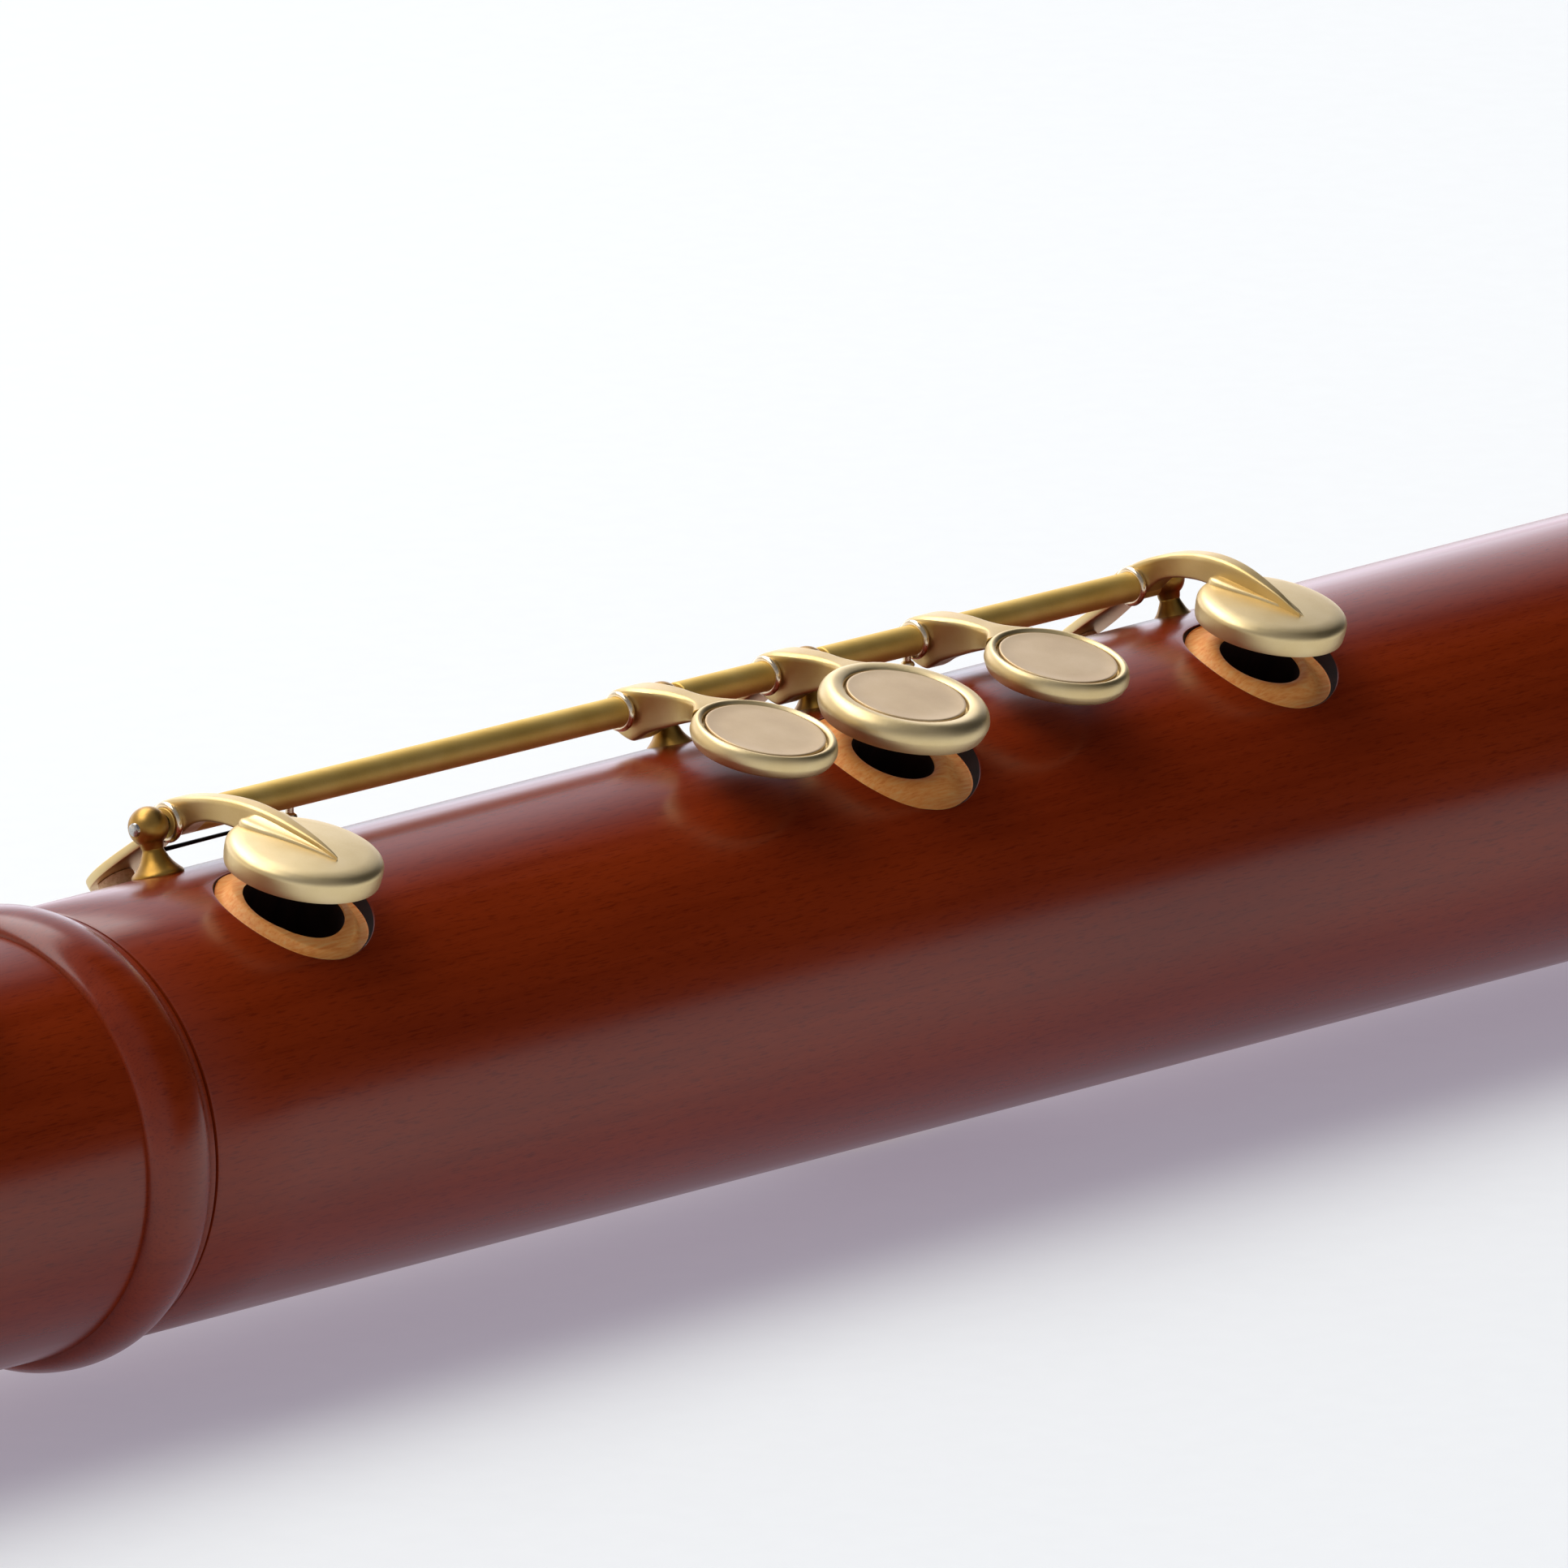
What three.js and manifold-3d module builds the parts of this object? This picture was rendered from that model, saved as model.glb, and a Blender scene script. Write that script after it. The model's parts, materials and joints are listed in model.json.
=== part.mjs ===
// Bass recorder with open-standing keys, lying on its side rings with the keys up.
// X runs from the foot (-) to the head (+), Z is up, sizes are in millimetres.
// The zero of X is the middle tone hole of the right hand.
import * as THREE from 'three';
import Module from 'manifold-3d';
import { mergeVertices } from 'three/addons/utils/BufferGeometryUtils.js';

const wasm = await Module();
wasm.setup();

// Body
const bodyRadius = 22;
const bodyTaper = 0.006;
const headSwell = 1.6;
const footStep = 1;
const waistDrop = 2;
const ringRise = 1.4;
const woodSides = 32;
const footSeamX = -111;
const footLength = 191;
const headSeamX = 330;
const headLength = 334;
const windwayLength = 64;
const capOverlap = 24;
const capRise = 48;
const tenonLength = 42;
const socketDepth = 43;
const centreWall = 9;
const bellWall = 8.2;
const headWall = 6.1;
const lowerTenonWall = 3.6;
const upperTenonWall = 1.9;
const capTenonWall = 2.1;
const slideFit = 0.08;
const corkDepth = 0.9;
const corkMargin = 5;
const corkFit = 0.06;

// Rings turned on the body
const footRingLength = 9.4;
const footRingRise = 1.6;
const lipLength = 1.2;
const bellLength = 34;
const bellRingLength = 12;
const headRingLength = 15;
const capRingLength = 11;
const capEdgeRound = 9;

// Window and windway
const windowWidth = 22;
const windowLength = 10;
const rampLength = 46;
const edgeDepth = 1.4;
const channelDepth = 1.3;
const blockFloorDrop = 1.1;
const blockProud = 4;
const blockFit = 0.07;
const chamberLip = 1.6;
const capTopWall = 18;

// Bocal
const bocalRadius = 4.2;
const bocalWall = 0.7;
const bocalCorkRadius = 5.6;
const bocalInside = 6;
const bocalCorkInset = 1;
const bocalStraight = 26;
const bocalBendRadius = 38;
const bocalBendAngle = 118;
const bocalReach = 62;
const bocalSides = 12;
const collarRadius = 6.6;
const collarLength = 4;
const mouthLength = 40;
const mouthOverlap = 14;
const mouthRadius = 7.6;
const mouthTipRadius = 6.2;

// Keywork section, seen along the body
const holeLean = 24;
const seatSunk = 0.8;
const seatDish = 1;
const seatCrest = 0.6;
const rodY = 6.8;
const rodAboveBody = 3.3;
const rodRadius = 0.75;
const rodBore = 0.81;
const tubeRadius = 1.55;
const openAngle = 10;
const padBelow = 0.45;
const padRadius = 6.5;
const padThickness = 1.45;
const padSeatGap = 0.15;
const padCellRadius = 6.85;
const padCellDepth = 1.3;
const cupRadius = 7.8;
const cupThickness = 2.6;
const cupDome = 0.45;
const fingerCupRadius = 8.75;
const fingerCupThickness = 3.1;
const touchRadius = 7.45;
const touchThickness = 2.4;
const armSink = 0.9;
const spearInset = 1.2;
const inlayRadius = 6.1;
const inlayThickness = 0.5;
const inlayGap = 0.3;
const inlaySunk = 0.1;
const armWidth = 2.5;
const archRise = 2.55;
const cupArchRise = 3.6;
const hookDrop = 3.1;
const noseReach = 2;
const spearPast = 4;
const spearHalfWidth = 2.3;
const spearHeight = 0.7;
const tailLength = 14.5;
const tailClearance = 2.34;
const tailWidth = 6.2;
const tailThickness = 1;
const tailCorkRadius = 1.9;
const tailCorkPlace = 11.2;
const woodGap = 0.3;
const discSides = 20;
const roundSides = 10;

// Posts, springs
const ballRadius = 2;
const postGap = 0.1;
const postStep = postGap + ballRadius;
const neckRadius = 1.05;
const flangeRadius = 2.5;
const flangeHeight = 0.55;
const shankRadius = 1.15;
const shankLength = 4;
const shankFit = 0.06;
const screwHeadRadius = 0.95;
const screwHeadLength = 0.3;
const springRadius = 0.3;
const springDrop = 2.4;
const springAside = 1.3;
const pegRadius = 0.5;
const pegLength = 3;

// Tone holes
const secondHoleX = 195;
const firstHoleX = 262;
const thumbHoleX = 288;
const holeRadii = {
  seventh: 5, sixth: 5.05, fifth: 4.4, fourth: 4.3, third: 4.6, second: 4.8, first: 4.6, thumb: 4,
};
const seatRadii = { seventh: 8, sixth: 7.8, fifth: 8.6, fourth: 7.85, third: 8.6 };
const seatLifts = { seventh: 0, sixth: 0, fifth: 0, fourth: 0.4, third: 0 };
const sixthHoleX = -86.9;
const fourthHoleX = 56.1;
const thirdHoleX = 146;
const seventhHoleX = -172;

// Thumb rest and sling eye
const thumbRestX = 14;
const thumbPlateLength = 34;
const thumbPlateWidth = 13;
const thumbPlateThickness = 1.6;
const ledgeThickness = 4;
const ledgeWidth = 11;
const ledgeRound = 3;
const restScrewRadius = 1.4;
const restScrewPlace = 12;
const screwCapRadius = 2.2;
const screwCapHeight = 0.9;
const eyeX = 158;
const eyeRadius = 2.4;
const eyeHoleRadius = 1.1;
const eyeThickness = 2;

// Sizes that follow from the ones above
const footEndX = footSeamX - footLength;
const headTopX = headSeamX + headLength;
const windwayX = headTopX - windwayLength;
const capSeamX = headTopX - capOverlap;
const capEndX = headTopX + capRise;
const blockEndX = headTopX + blockProud;
const chamberEndX = capEndX - capTopWall;
const bocalStartX = chamberEndX - bocalInside;
const bocalCorkStartX = chamberEndX + bocalCorkInset;
const bocalCorkEndX = capEndX - bocalCorkInset;
const bocalBendX = capEndX + bocalStraight;
const headBodyRadius = bodyRadius + headSwell;
const footBodyRadius = bodyRadius - footStep;
const footWaistRadius = footBodyRadius - waistDrop;
const ringRadius = headBodyRadius + ringRise;
const boreAtHead = headBodyRadius - headWall;
const boreAtFootSeam = bodyRadius - centreWall;
const boreAtFootEnd = footWaistRadius - bellWall;
const lowerTenonRadius = boreAtFootSeam + lowerTenonWall;
const upperTenonRadius = boreAtHead + upperTenonWall;
const capTenonRadius = boreAtHead + capTenonWall;
const chamberRadius = capTenonRadius - chamberLip;
const seatHeight = bodyRadius - seatSunk;
const rodZ = bodyRadius + rodAboveBody;

const degree = Math.PI / 180;

// The back stop slopes so that it clears the wood by the same amount where its cork sits.
const hingeReach = Math.hypot(rodY, rodZ);
const corkReach = bodyRadius + tailClearance;
const tailTurn = Math.acos((corkReach ** 2 - hingeReach ** 2 - tailCorkPlace ** 2)
  / (2 * hingeReach * tailCorkPlace));
const tailDrop = (Math.atan2(rodY, rodZ) + tailTurn) / degree - 90;
const axisHeight = ringRadius * Math.cos(Math.PI / woodSides);
const group = new THREE.Group();
group.name = 'bass_recorder';

const looks = {
  wood: { color: 0x6b2410, roughness: 0.35, metalness: 0 },
  pale_wood: { color: 0xc98a50, roughness: 0.7, metalness: 0 },
  brass: { color: 0xc8ad78, roughness: 0.4, metalness: 1 },
  steel: { color: 0x9a9a9a, roughness: 0.3, metalness: 1 },
  cork: { color: 0xb98a5a, roughness: 0.9, metalness: 0 },
  pad: { color: 0x6e4630, roughness: 0.8, metalness: 0 },
};

function add(name, shape, look) {
  const mesh = new THREE.Mesh(geometryOf(shape), new THREE.MeshStandardMaterial(looks[look]));
  mesh.name = name;
  mesh.position.z = axisHeight;
  group.add(mesh);
  return mesh;
}

function solidOf(geometry) {
  const plain = geometry.clone();
  plain.deleteAttribute('normal');
  plain.deleteAttribute('uv');
  const welded = mergeVertices(plain, 1e-4);
  const points = Float32Array.from(welded.attributes.position.array);
  const corners = Uint32Array.from(welded.index.array);
  const kept = [];
  let volume = 0;
  const at = (i) => new THREE.Vector3().fromArray(points, i * 3);
  for (let i = 0; i < corners.length; i += 3) {
    const [a, b, c] = [corners[i], corners[i + 1], corners[i + 2]];
    if (a === b || b === c || c === a) continue;
    kept.push(a, b, c);
    volume += at(a).dot(at(b).cross(at(c)));
  }
  if (volume < 0) kept.reverse();
  return new wasm.Manifold(new wasm.Mesh({
    numProp: 3, vertProperties: points, triVerts: Uint32Array.from(kept),
  }));
}

function geometryOf(shape) {
  const mesh = shape.getMesh();
  const geometry = new THREE.BufferGeometry();
  geometry.setAttribute('position', new THREE.BufferAttribute(mesh.vertProperties, mesh.numProp));
  geometry.setIndex(new THREE.BufferAttribute(mesh.triVerts, 1));
  geometry.computeVertexNormals();
  return geometry;
}

function union(shapes) {
  return shapes.reduce((whole, next) => whole.add(next));
}

// A body turned about the X axis from a closed loop of [x, radius] points.
function turned(loop, sides = woodSides) {
  const points = loop.map(([x, radius]) => new THREE.Vector2(radius, x));
  if (loop[0][1] > 0) points.push(points[0].clone());
  const lathe = new THREE.LatheGeometry(points, sides, Math.PI / sides);
  lathe.rotateZ(-Math.PI / 2);
  return solidOf(lathe);
}

// A body turned about a line that leaves the body axis at an angle from vertical.
function turnedRadial(loop, x, lean, sides = roundSides) {
  const points = loop.map(([height, radius]) => new THREE.Vector2(radius, height));
  const lathe = new THREE.LatheGeometry(points, sides, Math.PI / sides);
  lathe.rotateX((90 - lean) * degree);
  lathe.translate(x, 0, 0);
  return solidOf(lathe);
}

function drill(x, lean, radius, from, to, sides = roundSides) {
  return turnedRadial([[from, 0], [from, radius], [to, radius], [to, 0]], x, lean, sides);
}

// A length of round bar along X through a point of the section.
function bar(from, to, radius, y, z, sides = roundSides) {
  const rod = new THREE.CylinderGeometry(radius, radius, to - from, sides);
  rod.rotateZ(-Math.PI / 2);
  rod.translate((from + to) / 2, y, z);
  return solidOf(rod);
}

// A plate cut in the section plane and given a width along X.
function sectionPlate(shape, x, width, y, z) {
  const plate = new THREE.ExtrudeGeometry(shape, {
    depth: width, bevelEnabled: false, curveSegments: 4,
  });
  const basis = new THREE.Matrix4().makeBasis(
    new THREE.Vector3(0, 1, 0), new THREE.Vector3(0, 0, 1), new THREE.Vector3(1, 0, 0));
  plate.applyMatrix4(basis);
  plate.translate(x - width / 2, y, z);
  return solidOf(plate);
}

// Half a ring turned on a body: rises from one radius and falls back to another.
function ringCurve(from, to, radiusFrom, radiusTo, rise, steps = 4) {
  const points = [];
  for (let i = 0; i <= steps; i += 1) {
    const part = i / steps;
    const base = radiusFrom + (radiusTo - radiusFrom) * part;
    points.push([from + (to - from) * (1 - Math.cos(Math.PI * part)) / 2,
      base + rise * Math.sin(Math.PI * part)]);
  }
  return points;
}

function radiusAt(x) {
  return bodyRadius + bodyTaper * x;
}

function boreAt(x) {
  const low = footSeamX - tenonLength;
  return boreAtFootSeam + (boreAtHead - boreAtFootSeam) * (x - low) / (headSeamX + tenonLength - low);
}

// The joints of the body before their holes are cut
const centreLowX = footSeamX - tenonLength;
const centreHighX = headSeamX + tenonLength;
let centreJoint = turned([
  [centreLowX, boreAt(centreLowX)],
  [centreLowX, lowerTenonRadius],
  [centreLowX + corkMargin, lowerTenonRadius],
  [centreLowX + corkMargin, lowerTenonRadius - corkDepth],
  [footSeamX - corkMargin, lowerTenonRadius - corkDepth],
  [footSeamX - corkMargin, lowerTenonRadius],
  [footSeamX, lowerTenonRadius],
  [footSeamX, radiusAt(footSeamX)],
  [headSeamX, radiusAt(headSeamX)],
  [headSeamX, upperTenonRadius],
  [headSeamX + corkMargin, upperTenonRadius],
  [headSeamX + corkMargin, upperTenonRadius - corkDepth],
  [centreHighX - corkMargin, upperTenonRadius - corkDepth],
  [centreHighX - corkMargin, upperTenonRadius],
  [centreHighX, upperTenonRadius],
  [centreHighX, boreAt(centreHighX)],
]);

function tenonCork(name, from, to, radius) {
  const inner = radius - corkDepth + corkFit;
  add(name, turned([[from, inner], [from, radius], [to, radius], [to, inner]]), 'cork');
}

const footRingX = footSeamX - lipLength;
const bellX = footEndX + bellLength;
const socketEndX = footSeamX - socketDepth;
let footJoint = turned([
  [footSeamX - woodGap, lowerTenonRadius + slideFit],
  [footSeamX - woodGap, radiusAt(footSeamX) + slideFit],
  [footRingX, radiusAt(footSeamX) + slideFit],
  ...ringCurve(footRingX, footSeamX - footRingLength, radiusAt(footSeamX), footBodyRadius, footRingRise, 6),
  [bellX, footWaistRadius],
  ...ringCurve(bellX, footEndX + bellRingLength, footWaistRadius, ringRadius - footRingRise, 0),
  ...ringCurve(footEndX + bellRingLength, footEndX, ringRadius - footRingRise,
    ringRadius - footRingRise, footRingRise),
  [footEndX, boreAtFootEnd],
  [socketEndX, boreAtFootSeam],
  [socketEndX, lowerTenonRadius + slideFit],
]);

const headRingX = headSeamX + headRingLength;
const headSocketX = headSeamX + socketDepth;
let headJoint = turned([
  [headSeamX + woodGap, upperTenonRadius + slideFit],
  [headSeamX + woodGap, radiusAt(headSeamX)],
  ...ringCurve(headSeamX + lipLength, headRingX, radiusAt(headSeamX), headBodyRadius,
    ringRadius - (radiusAt(headSeamX) + headBodyRadius) / 2),
  [capSeamX, headBodyRadius],
  [capSeamX, capTenonRadius],
  [headTopX, capTenonRadius],
  [headTopX, boreAtHead],
  [headSocketX, boreAtHead],
  [headSocketX, upperTenonRadius + slideFit],
]);

// The window: a ramp falls from the surface to the edge, the windway opens beyond it.
function towardsHoles(geometry) {
  geometry.rotateX(holeLean * degree);
  return solidOf(geometry);
}

function windowCut() {
  const edgeX = windwayX - windowLength;
  const edgeZ = boreAtHead + edgeDepth;
  const top = ringRadius + edgeDepth;
  const ramp = new THREE.Shape();
  ramp.moveTo(edgeX - rampLength, headBodyRadius);
  ramp.lineTo(edgeX, edgeZ);
  ramp.lineTo(edgeX, top);
  ramp.lineTo(edgeX - rampLength, top);
  const opening = new THREE.BoxGeometry(windowLength, windowWidth, top);
  opening.translate(edgeX + windowLength / 2, 0, top / 2 + edgeDepth);
  const channel = new THREE.BoxGeometry(headTopX - windwayX + windowLength, windowWidth, channelDepth * 2);
  channel.translate((headTopX + windwayX + windowLength) / 2, 0, boreAtHead);
  const slope = new THREE.ExtrudeGeometry(ramp, { depth: windowWidth, bevelEnabled: false });
  slope.rotateX(Math.PI / 2);
  slope.translate(0, windowWidth / 2, 0);
  return union([towardsHoles(slope), towardsHoles(opening), towardsHoles(channel)]);
}
headJoint = headJoint.subtract(windowCut());

// The block fills the top of the bore and carries the windway floor.
const blockRadius = boreAtHead * Math.cos(Math.PI / woodSides) - blockFit;
const floorCut = new THREE.BoxGeometry(blockEndX - windwayX, windowWidth - woodGap, boreAtHead);
floorCut.translate((blockEndX + windwayX) / 2 - woodGap, 0, boreAtHead * 1.5 - blockFloorDrop);
const block = turned([[windwayX, 0], [windwayX, blockRadius], [blockEndX, blockRadius], [blockEndX, 0]])
  .subtract(towardsHoles(floorCut));

const capRingX = capSeamX + capRingLength;
const cap = turned([
  [capSeamX + woodGap, capTenonRadius + slideFit],
  [capSeamX + woodGap, headBodyRadius],
  ...ringCurve(capSeamX + lipLength, capRingX, headBodyRadius, headBodyRadius, ringRadius - headBodyRadius),
  [capEndX - capEdgeRound, headBodyRadius],
  [capEndX - capEdgeRound / 2, headBodyRadius - capEdgeRound / 5],
  [capEndX - capEdgeRound / 5, headBodyRadius - capEdgeRound / 2],
  [capEndX, headBodyRadius - capEdgeRound],
  [capEndX, bocalCorkRadius + slideFit],
  [chamberEndX, bocalCorkRadius + slideFit],
  [chamberEndX, chamberRadius],
  [headTopX + woodGap * 4, chamberRadius],
  [headTopX + woodGap * 4, capTenonRadius + slideFit],
]);

// Keywork: a station is one hinge line with its place on the body.
const stations = {
  right: { rise: 0, lift: 0, radius: radiusAt },
  left: { rise: radiusAt(thirdHoleX) - bodyRadius, lift: 0, radius: radiusAt },
  foot: { rise: 0, lift: 0, radius: footRadiusAt },
};
stations.foot.rise = footRadiusAt(seventhHoleX) - bodyRadius;

function footRadiusAt(x) {
  const start = footSeamX - footRingLength;
  return footBodyRadius + (footWaistRadius - footBodyRadius) * (x - start) / (bellX - start);
}

function holeDirection() {
  return new THREE.Vector3(0, -Math.sin(holeLean * degree), Math.cos(holeLean * degree));
}

// The hinge line of a station in the section plane.
function hingeOf(station) {
  const shift = holeDirection().multiplyScalar(station.rise);
  return new THREE.Vector3(0, rodY + shift.y, rodZ + shift.z);
}

// Moves a geometry made about its own Y axis to the plane of a cup that stands open.
function toCupPlane(geometry, x, station, height) {
  const hinge = hingeOf(station);
  geometry.translate(0, seatHeight + station.rise + station.lift + padSeatGap + padBelow + height, 0);
  geometry.rotateX((90 + holeLean) * degree);
  geometry.translate(x, -hinge.y, -hinge.z);
  geometry.rotateX(-openAngle * degree);
  geometry.translate(0, hinge.y, hinge.z);
  return geometry;
}

function disc(loop, x, station, height) {
  const points = loop.map(([radius, level]) => new THREE.Vector2(radius, level));
  const lathe = new THREE.LatheGeometry(points, discSides, Math.PI / discSides);
  return solidOf(toCupPlane(lathe, x, station, height));
}

function roundDisc(radius, low, high, x, station) {
  return disc([[0, low], [radius, low], [radius, high], [0, high]], x, station, 0);
}

function padCell(x, station) {
  return roundDisc(padCellRadius, -padCellDepth, padCellDepth, x, station);
}

// A closed cup with a gently domed top over its pad.
function cupDisc(x, station) {
  const edge = cupThickness / 4;
  return disc([
    [0, 0], [cupRadius - edge / 2, 0], [cupRadius, edge], [cupRadius, cupThickness - edge * 2],
    [cupRadius - edge * 0.4, cupThickness - edge * 0.8], [cupRadius - edge * 1.3, cupThickness],
    [cupRadius / 2, cupThickness + cupDome * 0.8], [0, cupThickness + cupDome],
  ], x, station, 0).subtract(padCell(x, station));
}

// A raised rim round a shallow cell for the inlay.
function rimDisc(radius, thickness, x, station, height) {
  const cellRadius = inlayRadius + inlayGap;
  const cellDepth = inlayThickness + inlayGap + inlaySunk;
  const rim = radius - cellRadius;
  return disc([
    [0, 0], [radius - rim / 3, 0], [radius, thickness * 0.25], [radius, thickness * 0.6],
    [radius - rim * 0.25, thickness * 0.9], [radius - rim * 0.6, thickness],
    [cellRadius, thickness], [cellRadius, thickness - cellDepth], [0, thickness - cellDepth],
  ], x, station, height);
}

function inlay(name, thickness, x, station, height) {
  const top = thickness - inlaySunk;
  const low = top - inlayThickness;
  const crown = inlaySunk / 2;
  add(name, disc([
    [0, low], [inlayRadius, low], [inlayRadius, top - crown], [inlayRadius / 2, top], [0, top],
  ], x, station, height), 'brass');
}

// Turns a distance from the disc's centre and a height above its underside into the section plane,
// measured from the hinge line.
function onDisc(along, height, station) {
  const mark = new THREE.BufferGeometry().setFromPoints([new THREE.Vector3(0, height, 0)]);
  const tilt = (holeLean - openAngle) * degree;
  toCupPlane(mark, 0, station, 0);
  const point = new THREE.Vector3().fromBufferAttribute(mark.attributes.position, 0);
  const hinge = hingeOf(station);
  return [point.y - hinge.y + along * Math.cos(tilt), point.z - hinge.z + along * Math.sin(tilt)];
}

// A swan-necked web from the hinge tube to the rim of a finger disc.
function touchArm(x, station, radius, low, high) {
  const [rimY, rimTop] = onDisc(radius - armSink, high, station);
  const [, rimLow] = onDisc(radius - armSink, low, station);
  const web = new THREE.Shape();
  web.moveTo(noseReach, tubeRadius / 3);
  web.bezierCurveTo(noseReach * 0.8, archRise * 0.75, 0, archRise * 0.9, -noseReach, archRise);
  web.bezierCurveTo(rimY / 2, archRise * 1.15, rimY * 0.75, rimTop, rimY, rimTop);
  web.lineTo(rimY, rimLow);
  web.bezierCurveTo(rimY * 0.7, rimLow - hookDrop / 3, rimY * 0.35, -hookDrop / 2, 0, -hookDrop);
  web.bezierCurveTo(noseReach / 2, -hookDrop, noseReach, -hookDrop / 2, noseReach, tubeRadius / 3);
  const hinge = hingeOf(station);
  return sectionPlate(web, x, armWidth, hinge.y, hinge.z);
}

// An arched arm that lands on a closed cup and runs out to a point past its centre.
function cupArm(x, station) {
  const [tipY, tipZ] = onDisc(-spearPast, cupThickness + cupDome / 2, station);
  const [innerY, innerZ] = onDisc(-spearPast, cupThickness / 2, station);
  const [rimY, rimZ] = onDisc(cupRadius - armSink * 2, cupThickness * 0.6, station);
  const side = new THREE.Shape();
  side.moveTo(noseReach, tubeRadius / 3);
  side.bezierCurveTo(noseReach * 0.8, cupArchRise * 0.6, 0, cupArchRise * 0.85, -noseReach * 1.6, cupArchRise);
  side.bezierCurveTo(rimY, cupArchRise * 1.25, tipY * 0.75, tipZ + cupArchRise * 0.8, tipY, tipZ);
  side.lineTo(innerY, innerZ);
  side.lineTo(rimY, rimZ);
  side.bezierCurveTo(rimY * 0.75, rimZ + tubeRadius / 2, -noseReach * 1.5, tubeRadius, -tubeRadius / 2, -tubeRadius);
  side.lineTo(tubeRadius / 2, -tubeRadius);
  const hinge = hingeOf(station);
  const plate = sectionPlate(side, x, armWidth, hinge.y, hinge.z);

  const outline = new THREE.Shape();
  const half = armWidth / 2;
  outline.moveTo(-half, noseReach * 2);
  outline.lineTo(half, noseReach * 2);
  outline.lineTo(half, rimY);
  outline.lineTo(half / 6, tipY);
  outline.lineTo(-half / 6, tipY);
  outline.lineTo(-half, rimY);
  const blank = new THREE.ExtrudeGeometry(outline, { depth: rodZ, bevelEnabled: false });
  blank.translate(x, hinge.y, hinge.z - rodZ / 2);
  return plate.intersect(solidOf(blank));
}

// The low pointed foot of the arm on top of the cup.
function spearFoot(x, station) {
  const leaf = new THREE.Shape();
  const root = cupRadius - spearInset;
  leaf.moveTo(-spearHalfWidth, root);
  leaf.quadraticCurveTo(0, root + spearHeight, spearHalfWidth, root);
  leaf.quadraticCurveTo(spearHalfWidth * 0.8, 0, 0, -spearPast);
  leaf.quadraticCurveTo(-spearHalfWidth * 0.8, 0, -spearHalfWidth, root);
  const plate = new THREE.ExtrudeGeometry(leaf, {
    depth: cupDome + spearHeight, bevelEnabled: false, curveSegments: 3,
  });
  plate.rotateX(-Math.PI / 2);
  return solidOf(toCupPlane(plate, x, station, cupThickness - cupDome / 2));
}

// Turns a flat leaf that lies in its own XY plane into the sloping plane of the back stop.
function toTailPlane(geometry, x, station) {
  const hinge = hingeOf(station);
  geometry.rotateX(-tailDrop * degree);
  geometry.translate(x, hinge.y, hinge.z);
  return solidOf(geometry);
}

function tail(x, station) {
  const leaf = new THREE.Shape();
  const half = tailWidth / 2;
  leaf.moveTo(-half / 2, 0);
  leaf.lineTo(half / 2, 0);
  leaf.bezierCurveTo(half / 2, tailLength / 3, half, tailLength / 3, half, tailLength * 0.65);
  leaf.quadraticCurveTo(half, tailLength * 0.9, 0, tailLength);
  leaf.quadraticCurveTo(-half, tailLength * 0.9, -half, tailLength * 0.65);
  leaf.bezierCurveTo(-half, tailLength / 3, -half / 2, tailLength / 3, -half / 2, 0);
  const plate = new THREE.ExtrudeGeometry(leaf, {
    depth: tailThickness, bevelEnabled: false, curveSegments: 3,
  });
  plate.translate(0, 0, -tailThickness / 2);
  return toTailPlane(plate, x, station);
}

// The cork under the back stop, trimmed to stand just off the wood.
function tailCork(name, x, station) {
  const length = rodZ / 3;
  const peg = new THREE.CylinderGeometry(tailCorkRadius, tailCorkRadius, length, roundSides);
  peg.rotateX(Math.PI / 2);
  peg.translate(0, tailCorkPlace, -tailThickness / 2 - corkFit - length / 2);
  const wood = turned([
    [x - tailWidth, 0], [x - tailWidth, station.radius(x) + woodGap],
    [x + tailWidth, station.radius(x) + woodGap], [x + tailWidth, 0],
  ]);
  add(name, toTailPlane(peg, x, station).subtract(wood), 'cork');
}

function hingeTube(from, to, station) {
  const hinge = hingeOf(station);
  return bar(from, to, tubeRadius, hinge.y, hinge.z);
}

function springPeg(x, station) {
  const hinge = hingeOf(station);
  const peg = new THREE.CylinderGeometry(pegRadius, pegRadius, pegLength, 10);
  peg.rotateX(Math.PI / 2);
  peg.translate(x, hinge.y, hinge.z - pegLength / 2 - tubeRadius / 2);
  return solidOf(peg);
}

// Posts are screwed into the wood under the hinge line; the rod runs through their heads.
function postLean(station) {
  const hinge = hingeOf(station);
  return Math.atan2(hinge.y, hinge.z) / degree;
}

const shankHoles = { right: [], left: [], foot: [] };

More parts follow.
